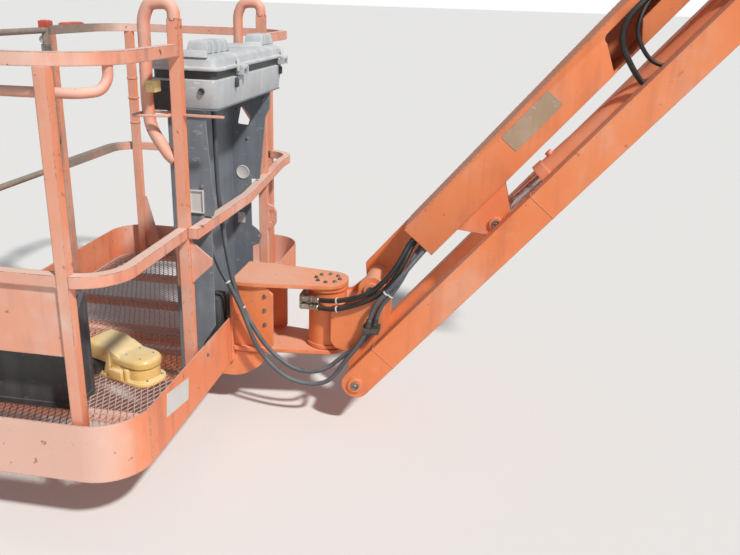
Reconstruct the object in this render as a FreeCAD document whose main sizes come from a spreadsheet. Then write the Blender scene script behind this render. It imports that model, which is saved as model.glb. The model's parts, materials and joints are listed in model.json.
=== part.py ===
import FreeCAD, Part
import math
import os
import re
from types import SimpleNamespace

from FreeCAD import Placement, Rotation, Vector

# Work platform of a boom lift, with its console, rotator and parallelogram jib.
# +X points from the boom to the platform, +Y to the machine's left, +Z up.
# The origin is the middle of the bore where the jib's nose bracket pins to the boom.

os.makedirs("parts", exist_ok=True)
doc = FreeCAD.newDocument("work_platform")
sheet = doc.addObject("Spreadsheet::Sheet", "Sizes")

# Every driving size: name, millimetres or degrees, what it is.
SIZES = (
    ("jib_length", 1830, "pin to pin, upper and lower arms"),
    ("jib_drop", 50, "angle of the jib below level, degrees"),
    ("pin_rise", 338, "upper arm pin above the lower arm pin"),
    ("pin_rake", 35.5, "upper arm pin behind the lower arm pin"),
    ("pin_radius", 20, "arm pins"),
    ("run_gap", 0.06, "radial running clearance at pins and rod"),
    ("nose_reach", 140, "lower nose pin ahead of the boom pin"),
    ("nose_drop", 200, "lower nose pin below the boom pin"),
    ("boom_bore", 25, "radius of the bore for the boom pin"),
    ("boom_boss", 46, "radius of the boss round that bore"),
    ("level_back", 130, "levelling cylinder eye behind the lower nose pin"),
    ("level_drop", 30, "levelling cylinder eye below the lower nose pin"),
    ("level_bore", 16, "radius of the levelling cylinder's pin holes"),
    ("plate_thick", 12, "side plates of nose and knuckle"),
    ("beam_half", 80, "half width of the upper arm"),
    ("beam_height", 128, "upper arm"),
    ("beam_wall", 8, "upper arm plate"),
    ("beam_start", 95, "first pin to the box section"),
    ("cover_short", 232, "cover ends this far before the platform pin"),
    ("side_gap", 5, "upper arm to the side plates"),
    ("arm_gap", 4, "side plates to the lower arms"),
    ("arm_width", 54, "lower arm tube"),
    ("arm_height", 100, "lower arm tube"),
    ("boss_radius", 38, "arm end bosses"),
    ("head_radius", 26, "pin heads"),
    ("head_thick", 8, "pin heads"),
    ("slot_mouth", 511, "hose slot's platform side from the nose pin"),
    ("lug_back", 453, "cylinder pin before the platform pin"),
    ("lug_drop", 144, "cylinder pin below the upper arm's middle"),
    ("lug_thick", 10, "cylinder lug plates"),
    ("lug_gap", 72, "clear space between the lug plates"),
    ("lug_pin", 16, "radius of the cylinder pin"),
    ("barrel_radius", 45, "jib cylinder barrel"),
    ("barrel_bore", 37, "jib cylinder bore radius"),
    ("rod_shown", 205, "jib cylinder rod from the gland's face to its pin"),
    ("rod_radius", 22, "jib cylinder rod"),
    ("eye_radius", 38, "cylinder eyes"),
    ("eye_width", 60, "cylinder eyes"),
    ("axis_ahead", 137, "rotator axis ahead of the lower arm pin"),
    ("rotator_radius", 68, "rotator housing"),
    ("rotator_height", 230, "rotator housing"),
    ("rotator_low", 85, "housing bottom above the lower arm pin"),
    ("rotator_gap", 2, "housing to the platform's ears"),
    ("ear_thick", 14, "ears above and below the rotator"),
    ("ear_radius", 72, "round end of the ears"),
    ("ear_half", 115, "half width of the ears at the platform"),
    ("axis_behind", 330, "rotator axis behind the platform"),
    ("base_rise", 20, "platform base above the lower arm pin"),
    ("platform_depth", 910, "front to rear over the toe board"),
    ("platform_width", 1828, "side to side over the toe board"),
    ("toe_height", 174, "toe board"),
    ("toe_thick", 4, "toe board sheet"),
    ("toe_corner", 140, "toe board corner radius"),
    ("tube_side", 32, "square tube of rails and posts"),
    ("rail_inset", 14, "rails inside the toe board's face"),
    ("top_corner", 220, "top rail corner radius"),
    ("mid_corner", 130, "mid rail corner radius"),
    ("top_rail", 1122, "top of the top rail above the base"),
    ("mid_rail", 588, "top of the mid rail above the base"),
    ("floor_top", 34, "top of the mesh floor above the base"),
    ("mesh_thick", 4, "floor mesh"),
    ("joist_side", 30, "floor frame tube"),
    ("end_post_x", 149, "rear end posts from the rear face"),
    ("front_post_x", 126, "front end posts from the front face"),
    ("front_post_in", 31, "front end posts inside the rear ones' line"),
    ("rear_post_y", 406, "rear posts from the middle"),
    ("gate_post_y", 372, "gate posts from the middle"),
    ("gate_tube", 12.5, "gate tube radius"),
    ("gate_gap", 5, "gate to its posts"),
    ("hoop_reach", 91, "console guard hoops, leg to leg"),
    ("hoop_top", 1250, "top of the hoops above the base"),
    ("hoop_low", 790, "hoop's lower end above the base"),
    ("hoop_radius", 18, "hoop tube radius"),
    ("console_rear", -62, "console's rear face ahead of the platform's"),
    ("console_depth", 215, "console box front to rear"),
    ("console_near", 330, "console's left end"),
    ("console_far", -375, "console's right end"),
    ("console_low", 932, "underside of the console box"),
    ("console_split", 1044, "joint between box and lid"),
    ("console_top", 1090, "top of the lid"),
    ("console_wall", 7, "console moulding"),
    ("lid_gap", 0.3, "lid to box"),
    ("lid_edge", 8, "lid beyond the box all round"),
    ("lid_pin", 4, "radius of the lid's hinge pins"),
    ("pedestal_front", 112, "pedestal's front plate from the platform's rear face"),
    ("pedestal_near", 300, "pedestal's left plate from the middle"),
    ("pedestal_far", -260, "pedestal's right plate from the middle"),
    ("sheet_thick", 4, "pedestal sheet"),
    ("hose_radius", 9, "hydraulic hoses"),
    ("cable_radius", 8, "cables to the console"),
)
for row, (alias, value, note) in enumerate(SIZES, 1):
    sheet.set("A%d" % row, alias)
    sheet.set("B%d" % row, str(value))
    sheet.setAlias("B%d" % row, alias)
    sheet.set("C%d" % row, note)
doc.recompute()
g = SimpleNamespace(**{alias: float(sheet.get(alias)) for alias, _, _ in SIZES})
ALIASES = {alias for alias, _, _ in SIZES}


def cells(text):
    """A formula whose bare size names point at the sheet's cells."""
    return re.sub(r"[a-z][a-z_]+", lambda m: "Sizes." + m[0] if m[0] in ALIASES else m[0], text)


def bind(obj, **formulas):
    for prop, text in formulas.items():
        obj.setExpression(prop.replace("__", "."), cells(text))
    return obj


def place(obj, at):
    for axis, text in zip("xyz", at):
        obj.setExpression("Placement.Base." + axis, cells(text))
    return obj


def block(name, length, width, height, at=("0", "0", "0")):
    """A box by its three sizes and its low corner, all formulas."""
    obj = bind(doc.addObject("Part::Box", name), Length=length, Width=width, Height=height)
    return place(obj, at)


def rod(name, radius, length, at=("0", "0", "0"), axis="z"):
    """A cylinder from at along an axis; along y it is centred on at."""
    obj = bind(doc.addObject("Part::Cylinder", name), Radius=radius, Height=length)
    if axis == "y":
        obj.Placement.Rotation = Rotation(Vector(1, 0, 0), -90)
        at = (at[0], "%s - (%s) / 2" % (at[1], length), at[2])
    if axis == "x":
        obj.Placement.Rotation = Rotation(Vector(0, 1, 0), 90)
    return place(obj, at)


def outline(corners):
    """Lines and arcs round a closed outline of (u, v, corner radius)."""
    edges = []
    ends = []
    count = len(corners)
    for i, (u, v, radius) in enumerate(corners):
        here = Vector(u, v, 0)
        before = (Vector(*corners[i - 1][:2], 0) - here).normalize()
        after = (Vector(*corners[(i + 1) % count][:2], 0) - here).normalize()
        half = before.getAngle(after) / 2
        if radius:
            run = radius / math.tan(half)
            middle = here + (before + after).normalize() * (radius / math.sin(half))
            tip = middle + (here - middle).normalize() * radius
            ends.append((here + before * run, here + after * run))
            edges.append(Part.Arc(ends[-1][0], tip, ends[-1][1]))
        else:
            ends.append((here, here))
    for i in range(count):
        start, end = ends[i][1], ends[(i + 1) % count][0]
        if start.distanceToPoint(end) > 0.001:
            edges.append(Part.LineSegment(start, end))
    return edges


PLANES = {
    "xy": (Rotation(), Vector(0, 0, 1)),
    "xz": (Rotation(Vector(1, 0, 0), 90), Vector(0, 1, 0)),
    "yz": (Rotation(Vector(1, 1, 1), 120), Vector(1, 0, 0)),
}


def plate(name, loops, thick, plane="xz", at=("0", "0", "0")):
    """A flat plate cut to one outline, or to an outline with holes."""
    turn, along = PLANES[plane]
    sketch = doc.addObject("Sketcher::SketchObject", name + "_outline")
    sketch.Placement = Placement(Vector(), turn)
    for loop in loops:
        if isinstance(loop, tuple):
            u, v, radius = loop
            sketch.addGeometry(Part.Circle(Vector(u, v, 0), Vector(0, 0, 1), radius))
        else:
            sketch.addGeometry(outline(loop))
    obj = doc.addObject("Part::Extrusion", name)
    obj.Base = sketch
    obj.DirMode = "Custom"
    obj.Dir = along
    obj.Solid = True
    bind(obj, LengthFwd=thick)
    return place(obj, at)


def fuse(name, *shapes):
    obj = doc.addObject("Part::MultiFuse", name)
    obj.Shapes = list(shapes)
    obj.Refine = False
    return obj


def cut(name, base, *tools):
    obj = doc.addObject("Part::Cut", name)
    obj.Base = base
    obj.Tool = tools[0] if len(tools) == 1 else fuse(name + "_tools", *tools)
    return obj


def group(name, *shapes):
    obj = doc.addObject("Part::Compound", name)
    obj.Links = list(shapes)
    return obj


def pipe(name, points, radius):
    """A round bar or hose: straight runs joined by arcs as large as the runs allow."""
    pts = [Vector(*p) for p in points]
    edges = []
    start = pts[0]
    for before, here, after in zip(pts, pts[1:], pts[2:]):
        back, on = before - here, after - here
        turn = math.pi - back.getAngle(on)
        reach = 0.45 * min(back.Length, on.Length)
        back.normalize()
        on.normalize()
        bend = reach / math.tan(turn / 2)
        middle = here + (back + on).normalize() * math.hypot(bend, reach)
        first, last = here + back * reach, here + on * reach
        tip = middle + (here - middle).normalize() * bend
        edges += [Part.LineSegment(start, first).toShape(), Part.Arc(first, tip, last).toShape()]
        start = last
    edges.append(Part.LineSegment(start, pts[-1]).toShape())
    path = Part.Wire(edges)
    ring = Part.Wire(Part.Circle(pts[0], pts[1] - pts[0], radius).toShape())
    shell = path.makePipeShell([ring], True, False)
    obj = doc.addObject("Part::Feature", name)
    obj.Shape = shell
    return obj


# Where each moving group is built: its own frame, and that frame's place in the part.
LOW_X, LOW_Z = "nose_reach", "-nose_drop"
END_X = "nose_reach + jib_length * cos(jib_drop)"
END_Z = "-nose_drop - jib_length * sin(jib_drop)"
FRAMES = {
    "nose": ("0", "0"),
    "upper_arm": ("nose_reach - pin_rake", "pin_rise - nose_drop"),
    "lower_arms": (LOW_X, LOW_Z),
    "cylinder_barrel": (LOW_X, LOW_Z),
    "cylinder_rod": (LOW_X, LOW_Z),
    "knuckle": (END_X, END_Z),
    "platform": (END_X + " + axis_ahead + axis_behind", END_Z + " + base_rise"),
}
FRAMES["console_lid"] = FRAMES["entry_gate"] = FRAMES["platform"]

drop = math.radians(g.jib_drop)
lug_x = (g.jib_length - g.lug_back) * math.cos(drop) - g.lug_drop * math.sin(drop) - g.pin_rake
lug_z = g.pin_rise - (g.jib_length - g.lug_back) * math.sin(drop) - g.lug_drop * math.cos(drop)
CYLINDER_LENGTH = math.hypot(lug_x, lug_z)
CYLINDER_DROP = math.degrees(math.atan2(-lug_z, lug_x))
CYLINDER = "%.6f" % CYLINDER_LENGTH
BARREL = CYLINDER + " - rod_shown"
NODES = []


def node(obj, label, body):
    """Names a finished piece, and moves it from its group's own frame to its place."""
    if obj.TypeId in ("Part::Box", "Part::Cylinder", "Part::Extrusion"):
        obj = group(label, obj)
    obj.Label = label
    across, up = FRAMES[body]
    turn = {"upper_arm": g.jib_drop, "lower_arms": g.jib_drop,
            "cylinder_barrel": CYLINDER_DROP, "cylinder_rod": CYLINDER_DROP}.get(body, 0)
    if turn:
        obj.Placement.Rotation = Rotation(Vector(0, 1, 0), turn)
    if body != "nose":
        place(obj, (across, "0", up))
    NODES.append((obj, label, body))
    return obj


PLATE_IN = "(beam_half + side_gap)"
PLATE_OUT = "(beam_half + side_gap + plate_thick)"
ARM_IN = "(beam_half + side_gap + plate_thick + arm_gap)"
ARM_OUT = "(beam_half + side_gap + plate_thick + arm_gap + arm_width)"


def side_plates(name, loops):
    """A pair of equal plates, one each side of the arms."""
    return [plate(name + side, loops, "plate_thick", "xz", ("0", y, "0"))
            for side, y in (("_left", PLATE_IN), ("_right", "-" + PLATE_OUT))]


def arm_pins(name, x, z):
    """The two pins that carry the arms at one end, with their heads."""
    upper = (x + " - pin_rake", "0", z + " + pin_rise")
    lower = (x, "0", z)
    rows = (
        ("upper", "pin_radius", "2 * %s + 2 * head_thick" % PLATE_OUT, upper),
        ("upper_head", "head_radius", "head_thick", (upper[0], PLATE_OUT + " + head_thick / 2", upper[2])),
        ("lower", "pin_radius", "2 * %s + 2 * head_thick" % ARM_OUT, lower),
        ("lower_head", "head_radius", "head_thick", (lower[0], ARM_OUT + " + 1 + head_thick / 2", lower[2])),
    )
    pieces = [rod(name + "_" + tag, radius, length, at, "y") for tag, radius, length, at in rows]
    return fuse(name, fuse(name + "_up", *pieces[:2]), fuse(name + "_low", *pieces[2:]))


# Nose bracket: two profiled side plates, with the boom pin's boss and a back plate between them.
low_x, low_z = g.nose_reach, -g.nose_drop
up_x, up_z = low_x - g.pin_rake, low_z + g.pin_rise
level_x, level_z = low_x - g.level_back, low_z - g.level_drop
nose_outline = [
    (-62, 58, 55), (up_x - 50, up_z + 52, 45), (up_x + 52, up_z + 52, 50),
    (low_x + 56, low_z + 40, 45), (low_x + 56, low_z - 54, 50), (level_x + 40, level_z - 42, 40),
    (level_x - 42, level_z - 42, 40), (-62, -80, 60),
]
nose_holes = [
    (0, 0, g.boom_boss), (up_x, up_z, g.pin_radius), (low_x, low_z, g.pin_radius),
    (level_x, level_z, g.level_bore),
]
boss = cut("boom_boss_tube",
           rod("boom_boss_outer", "boom_boss", "2 * %s + 12" % PLATE_OUT, axis="y"),
           rod("boom_boss_bore", "boom_bore", "2 * %s + 20" % PLATE_OUT, axis="y"))
back_plate = block("nose_back_plate", "plate_thick", "2 * " + PLATE_IN, "120",
                   ("-boom_boss", "-" + PLATE_IN, "-boom_boss - 130"))
node(group("nose_plates", *side_plates("nose_plate", [nose_outline] + nose_holes)), "nose_plates", "nose")
node(group("nose_cross", boss, back_plate), "nose_cross", "nose")
node(arm_pins("nose_pins", "nose_reach", "-nose_drop"), "nose_pins", "nose")

# Upper arm: a channel with its web on the right, closed on the left by a cover plate.
half = g.beam_height / 2
length = g.jib_length
web_outline = [
    (-52, -44, 44), (-52, 44, 44), (g.beam_start + 40, half, 60), (length, half, 12),
    (length + 46, 18, 16), (length + 46, -30, 26), (length + 14, -half, 26),
    (g.beam_start + 40, -half, 60),
]
pin_ends = [(0, 0, g.pin_radius + g.run_gap), (length, 0, g.pin_radius + g.run_gap)]
web = plate("beam_web", [web_outline] + pin_ends, "beam_wall", "xz", ("0", "-beam_half", "0"))
box_run = "jib_length - cover_short - beam_start"
flange_width = "2 * (beam_half - beam_wall)"
flanges = [block("beam_" + tag, box_run, flange_width, "beam_wall",
                 ("beam_start", "-(beam_half - beam_wall)", z))
           for tag, z in (("top", "beam_height / 2 - beam_wall"), ("bottom", "-beam_height / 2"))]
bosses = []
for tag, x in (("nose", "0"), ("end", "jib_length")):
    tube = "2 * beam_half - beam_wall"
    middle = (x, "beam_wall / 2", "0")
    bosses.append(cut("beam_boss_" + tag,
                      rod("beam_boss_%s_outer" % tag, "boss_radius", tube, middle, "y"),
                      rod("beam_boss_%s_bore" % tag, "pin_radius + run_gap", tube + " + 10", middle, "y")))
node(fuse("upper_arm", web, *flanges, *bosses), "upper_arm", "upper_arm")

# Cover plate of the upper arm, with the slot that the hoses come out of.
cover_end = length - g.cover_short
mouth = g.slot_mouth
cover_outline = [
    (g.beam_start, -half, 0), (g.beam_start, half, 0), (cover_end, half, 0), (cover_end, -half, 0),
    (mouth, -half, 0), (mouth - 14, 6, 40), (mouth - 60, 35, 40), (mouth - 360, 38, 18),
    (mouth - 360, -4, 18), (mouth - 160, -4, 50), (mouth - 95, -half, 0),
]
node(plate("upper_arm_cover", [cover_outline], "beam_wall", "xz", ("0", "beam_half - beam_wall", "0")),
     "upper_arm_cover", "upper_arm")

# Cylinder lug: a pair of tapered plates under the upper arm, and their pin.
lug_x, lug_z = length - g.lug_back, -g.lug_drop
lug_outline = [
    (lug_x + 106, -half, 0), (lug_x + 47, lug_z - 8, 30), (lug_x + 24, lug_z - 38, 24),
    (lug_x - 30, lug_z - 38, 30), (lug_x - 62, lug_z - 5, 40), (lug_x - 121, -half, 0),
]
lugs = [plate("lug_" + side, [lug_outline, (lug_x, lug_z, g.lug_pin)], "lug_thick", "xz", ("0", y, "0"))
        for side, y in (("left", "lug_gap / 2"), ("right", "-lug_gap / 2 - lug_thick"))]
node(group("cylinder_lug", *lugs), "cylinder_lug", "upper_arm")
pin_x = "jib_length - lug_back"
pin_ends_left = fuse("lug_pin_left",
                     rod("lug_pin_left_bar", "lug_pin", "lug_thick",
                         (pin_x, "(lug_gap + lug_thick) / 2", "-lug_drop"), "y"),
                     rod("lug_pin_left_head", "lug_pin + 6", "8",
                         (pin_x, "lug_gap / 2 + lug_thick + 4", "-lug_drop"), "y"))
pin_ends_right = fuse("lug_pin_right",
                      rod("lug_pin_right_bar", "lug_pin", "lug_thick",
                          (pin_x, "-(lug_gap + lug_thick) / 2", "-lug_drop"), "y"),
                      rod("lug_pin_right_head", "lug_pin + 6", "8",
                          (pin_x, "-lug_gap / 2 - lug_thick - 4", "-lug_drop"), "y"))
node(group("cylinder_lug_pins", pin_ends_left, pin_ends_right), "cylinder_lug_pins", "upper_arm")

# Lower arms: a pair of rectangular tubes with round ends and raised pin bosses.
arm_half = g.arm_height / 2
arm_outline = [
    (-arm_half, -arm_half, arm_half - 0.01), (-arm_half, arm_half, arm_half - 0.01),
    (length + arm_half, arm_half, arm_half - 0.01), (length + arm_half, -arm_half, arm_half - 0.01),
]
for side, y, boss_y in (("left", ARM_IN, ARM_OUT + " + 0.5"), ("right", "-" + ARM_OUT, "-" + ARM_OUT + " - 0.5")):
    name = "lower_arm_" + side
    tube = plate(name + "_tube", [arm_outline] + pin_ends, "arm_width", "xz", ("0", y, "0"))
    rings = [cut("%s_ring_%s" % (name, tag),
                 rod("%s_ring_%s_outer" % (name, tag), "boss_radius - 8", "1", (x, boss_y, "0"), "y"),
                 rod("%s_ring_%s_bore" % (name, tag), "pin_radius + run_gap", "6", (x, boss_y, "0"), "y"))
             for tag, x in (("nose", "0"), ("end", "jib_length"))]
    node(fuse(name, tube, *rings), name, "lower_arms")

# Jib cylinder barrel: base eye on the lower nose pin, tube, gland ring and two ports.
barrel = fuse("barrel_solid",
              rod("barrel_eye", "eye_radius", "eye_width", axis="y"),
              rod("barrel_tube", "barrel_radius", BARREL + " - 28", ("28", "0", "0"), "x"),
              rod("barrel_gland", "barrel_radius + 5", "34", (BARREL + " - 34", "0", "0"), "x"),
              rod("barrel_port_base", "12", "26", ("150", "0", "barrel_radius - 6")),
              rod("barrel_port_head", "12", "16", (BARREL + " - 70", "0", "barrel_radius - 6")))
barrel = cut("cylinder_barrel", barrel,
             rod("barrel_pin_bore", "pin_radius + run_gap", "eye_width + 20", axis="y"),
             rod("barrel_inside", "barrel_bore", BARREL + " - 154", ("120", "0", "0"), "x"),
             rod("barrel_gland_bore", "rod_radius + run_gap", "60", (BARREL + " - 40", "0", "0"), "x"))
node(barrel, "cylinder_barrel", "cylinder_barrel")

# Rod with its piston inside the barrel and its eye on the lug pin.
piston = rod("rod_piston", "barrel_bore - run_gap", "35", ("215", "0", "0"), "x")
stem = rod("rod_stem", "rod_radius", CYLINDER + " - 245", ("245", "0", "0"), "x")
eye = rod("rod_eye", "eye_radius - 3", "eye_width - 4", (CYLINDER, "0", "0"), "y")
eye_pin = rod("rod_eye_pin", "lug_pin", "eye_width", (CYLINDER, "0", "0"), "y")
node(fuse("cylinder_rod", piston, stem, eye, eye_pin), "cylinder_rod", "cylinder_rod")

# Knuckle: side plates from the arm pins to the rotator, joined by a web behind it.
knuckle_outline = [
    (105, 133, 0), (88, 108, 20), (38, 97, 8), (38, 44, 30), (48, -50, 44), (-50, -50, 46), (-84, 190, 60),
    (-84, g.pin_rise + 46, 44), (8, g.pin_rise + 46, 44), (10, g.pin_rise - 16, 30),
    (62, 272, 30), (105, 262, 0),
]
pins = [(0, 0, g.pin_radius), (-g.pin_rake, g.pin_rise, g.pin_radius)]
saddle = cut("knuckle_saddle",
             block("knuckle_web", "46", "2 * " + PLATE_IN, "150", ("axis_ahead - 98", "-" + PLATE_IN, "112")),
             rod("knuckle_seat", "rotator_radius + 0.2", "rotator_height + 60",
                 ("axis_ahead", "0", "rotator_low - 30")))
node(fuse("knuckle", *side_plates("knuckle_plate", [knuckle_outline] + pins), saddle), "knuckle", "knuckle")
node(arm_pins("knuckle_pins", "0", "0"), "knuckle_pins", "knuckle")

# Rotator housing: a vertical drum with a ring flange at each end.
drum_at = ("axis_ahead", "0", "rotator_low")
flange_low = rod("rotator_flange_low", "rotator_radius + 6", "14", drum_at)
flange_top = rod("rotator_flange_top", "rotator_radius + 6", "14",
                 ("axis_ahead", "0", "rotator_low + rotator_height - 14"))
drum = rod("rotator_drum", "rotator_radius", "rotator_height", drum_at)
node(fuse("rotator_housing", drum, flange_low, flange_top), "rotator_housing", "knuckle")

# Port block on the drum's platform side, with the hose fittings.
port_block = cut("port_block_body",
                 block("port_block_box", "40", "74", "46",
                       ("axis_ahead + rotator_radius - 14", "-28", "rotator_low + 146")),
                 rod("port_block_seat", "rotator_radius + 0.2", "400", ("axis_ahead", "0", "0")))
fittings = []
for i, z in enumerate((163, 190)):
    at_z = "rotator_low + %d" % z
    fittings.append(rod("port_stub_%d" % i, "9", "40", ("axis_ahead + 76", "65", at_z), "y"))
    fittings.append(rod("port_elbow_%d" % i, "10.5", "42", ("axis_ahead + 36", "76", at_z), "x"))
port_node = node(fuse("port_block", port_block, *fittings), "port_block", "knuckle")

# Platform mount: ears above and below the rotator, side plates with a curved foot, and hubs.
axis_x = -g.axis_behind
ear_z = g.rotator_low + g.rotator_height + g.rotator_gap - g.base_rise
low_ear_z = g.rotator_low - g.rotator_gap - g.ear_thick - g.base_rise
HIGH_EAR = "rotator_low + rotator_height + rotator_gap - base_rise"
LOW_EAR = "rotator_low - rotator_gap - ear_thick - base_rise"
ear_outline = [
    (-8, g.ear_half, 6), (-90, g.ear_half, 20), (axis_x - g.ear_radius, g.ear_radius, g.ear_radius - 2),
    (axis_x - g.ear_radius, -g.ear_radius, g.ear_radius - 2), (-90, -g.ear_half, 20), (-8, -g.ear_half, 6),
]
ears = [plate(name, [ear_outline], "ear_thick", "xy", ("0", "0", z))
        for name, z in (("ear_top", HIGH_EAR), ("ear_low", LOW_EAR))]
top_z, foot_z = ear_z, low_ear_z + g.ear_thick
cheek_outline = [
    (-8, top_z, 0), (-125, top_z, 0), (-152, top_z - 30, 0), (-152, foot_z + 8, 12), (-136, foot_z - 6, 10),
    (-112, -8, 90), (-30, -62, 120), (62, -62, 10), (62, 0, 0), (-8, 0, 0),
]
cheeks = [plate("cheek_" + side, [cheek_outline], "plate_thick", "xz", ("0", y, "0"))
          for side, y in (("left", "ear_half - 26"), ("right", "-ear_half + 26 - plate_thick"))]
mount_back = block("mount_back", "8", "2 * ear_half", HIGH_EAR + " + ear_thick - 2", ("-8", "-ear_half", "2"))
hubs = [rod("hub_low", "50", "rotator_gap - 0.5", ("-axis_behind", "0", LOW_EAR + " + ear_thick")),
        rod("hub_top", "50", "rotator_gap - 0.5", ("-axis_behind", "0", HIGH_EAR + " - rotator_gap + 0.5"))]
node(fuse("platform_mount", *ears, *cheeks, mount_back, *hubs), "platform_mount", "platform")

# Support beams under the floor.
beams = [block("support_beam_" + side, "platform_depth - 72", "44", "60", ("62", y, "-60"))
         for side, y in (("left", "ear_half - 42"), ("right", "-ear_half - 2"))]
node(group("support_beams", *beams), "support_beams", "platform")

# Toe board: one band of sheet round the platform, with rounded corners.
half_width = g.platform_width / 2


def ring(name, inset, width, corner, height, at_z):
    """A band of even width round the platform's plan."""
    loops = []
    for off in (inset, inset + width):
        near, depth, radius = half_width - off, g.platform_depth - off, corner - (off - inset)
        loops.append([(off, near, radius), (off, -near, radius), (depth, -near, radius), (depth, near, radius)])
    return plate(name, loops, height, "xy", ("0", "0", at_z))


node(ring("toe_board", 0, g.toe_thick, g.toe_corner, "toe_height", "0"), "toe_board", "platform")

# Floor frame: perimeter tube with joists, and the mesh floor on it.
frame_inset = g.toe_thick + 0.5
floor_edge = ring("floor_edge", frame_inset, g.joist_side, g.toe_corner - frame_inset, "joist_side", "0")
inner = g.toe_thick + 0.5 + g.joist_side
joists = [block("joist_%d" % i, "platform_depth - %g" % (2 * inner), "joist_side", "joist_side",
                ("%g" % inner, "%g - joist_side / 2" % y, "0"))
          for i, y in enumerate((-600, -300, 0, 300, 600))]
node(fuse("floor_frame", floor_edge, *joists), "floor_frame", "platform")
mesh_in = g.toe_thick + 1
mesh_far, mesh_half, mesh_corner = g.platform_depth - mesh_in, half_width - mesh_in, g.toe_corner - mesh_in
mesh_outline = [(mesh_in, mesh_half, mesh_corner), (mesh_in, -mesh_half, mesh_corner),
                (mesh_far, -mesh_half, mesh_corner), (mesh_far, mesh_half, mesh_corner)]
node(plate("floor_mesh", [mesh_outline], "mesh_thick", "xy", ("0", "0", "joist_side")), "floor_mesh", "platform")

# Posts of square tube, from the floor to the top rail; the gate bay's two stand alone.
inset = g.rail_inset
tube_half = g.tube_side / 2
POSTS = (  # name, x of the centre, y of the centre
    ("left_rear", "end_post_x", "platform_width / 2 - rail_inset - tube_side / 2"),
    ("left_front", "platform_depth - front_post_x",
     "platform_width / 2 - rail_inset - tube_side / 2 - front_post_in"),
    ("right_rear", "end_post_x", "-platform_width / 2 + rail_inset + tube_side / 2"),
    ("right_front", "platform_depth - front_post_x",
     "-platform_width / 2 + rail_inset + tube_side / 2 + front_post_in"),
    ("rear_left", "rail_inset + tube_side / 2", "rear_post_y"),
    ("rear_right", "rail_inset + tube_side / 2", "-rear_post_y"),
    ("gate_left", "platform_depth - rail_inset - tube_side / 2", "gate_post_y"),
    ("gate_right", "platform_depth - rail_inset - tube_side / 2", "-gate_post_y"),
)
FLOOR = "joist_side + mesh_thick"
posts = []
for name, x, y in POSTS:
    top = "hoop_top - 60" if name.startswith("rear") else "top_rail - tube_side"
    posts.append(block("post_" + name, "tube_side", "tube_side", top + " - joist_side - mesh_thick",
                       (x + " - tube_side / 2", y + " - tube_side / 2", FLOOR)))

node(group("posts", *posts), "posts", "platform")

# Top and mid rails: rings open at the gate bay, the top one also behind the console.
top_band = ring("top_rail_ring", inset, g.tube_side, g.top_corner, "tube_side", "top_rail - tube_side")
gate_bay = block("gate_bay", "tube_side + 20", "2 * gate_post_y - tube_side", "tube_side + 20",
                 ("platform_depth - rail_inset - tube_side - 10", "-gate_post_y + tube_side / 2",
                  "top_rail - tube_side - 10"))
console_bay = block("console_bay", "tube_side + 20", "2 * rear_post_y", "tube_side + 20",
                    ("rail_inset - 10", "-rear_post_y", "top_rail - tube_side - 10"))
node(cut("top_rail", top_band, gate_bay, console_bay, *posts[4:6]), "top_rail", "platform")


def bent_bar(name, points, width, height, at_z):
    """A bar bent in plan: (x, y, bend radius) along its middle, open ended."""
    sides = [[], []]
    for i, (x, y, radius) in enumerate(points):
        here = Vector(x, y, 0)
        runs = []
        if i > 0:
            runs.append((here - Vector(*points[i - 1][:2], 0)).normalize())
        if i < len(points) - 1:
            runs.append((Vector(*points[i + 1][:2], 0) - here).normalize())
        across = sum((Vector(-run.y, run.x, 0) for run in runs), Vector())
        across = across * (len(runs) / across.Length ** 2)
        turn = runs[0].cross(runs[-1]).z
        for side, sign in zip(sides, (1, -1)):
            edge = here + across * (sign * width / 2)
            inward = sign if turn > 0 else -sign
            side.append((edge.x, edge.y, radius - inward * width / 2 if radius else 0))
    return plate(name, [sides[0] + sides[1][::-1]], height, "xy", ("0", "0", at_z))


rail_x, rail_y = inset + tube_half, half_width - inset - tube_half
far_x = g.platform_depth - rail_x
corner = g.mid_corner - tube_half
gate_end = g.gate_post_y + tube_half
left_bend = [(rail_x, g.rear_post_y + tube_half, 0), (rail_x, rail_y, corner), (far_x, rail_y, corner),
             (far_x, gate_end, 0)]
right_bend = [(inset - tube_half, g.rear_post_y + tube_half, 0), (-14, -60, 500), (rail_x + 12, -700, 300),
              (rail_x + 4, -rail_y, corner), (far_x, -rail_y, corner), (far_x, -gate_end, 0)]
mid_bars = [bent_bar("mid_rail_" + side, bends, g.tube_side, "tube_side", "mid_rail - tube_side")
            for side, bends in (("left", left_bend), ("right", right_bend))]
node(group("mid_rail", *(cut(bar.Name + "_cut", bar, *posts) for bar in mid_bars)), "mid_rail", "platform")

# Gusset plates on the left rear post, under the mid rail's ends.
gusset_z = g.mid_rail - g.tube_side
gusset_outline = [
    (inset, gusset_z - 9, 0), (inset - 69, gusset_z - 65, 4), (inset - 68, gusset_z - 84, 4),
    (inset, gusset_z - 150, 0),
]
strip_outline = [
    (inset + g.tube_side, gusset_z - 10, 0), (inset + g.tube_side + 15, gusset_z - 14, 3),
    (inset + g.tube_side + 15, gusset_z - 160, 3), (inset + g.tube_side, gusset_z - 164, 0),
]
gussets = [plate(name, [loop], "6", "xz", ("0", "rear_post_y - 3", "0"))
           for name, loop in (("gusset_rear", gusset_outline), ("gusset_strip", strip_outline))]
node(group("post_gussets", *gussets), "post_gussets", "platform")

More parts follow.
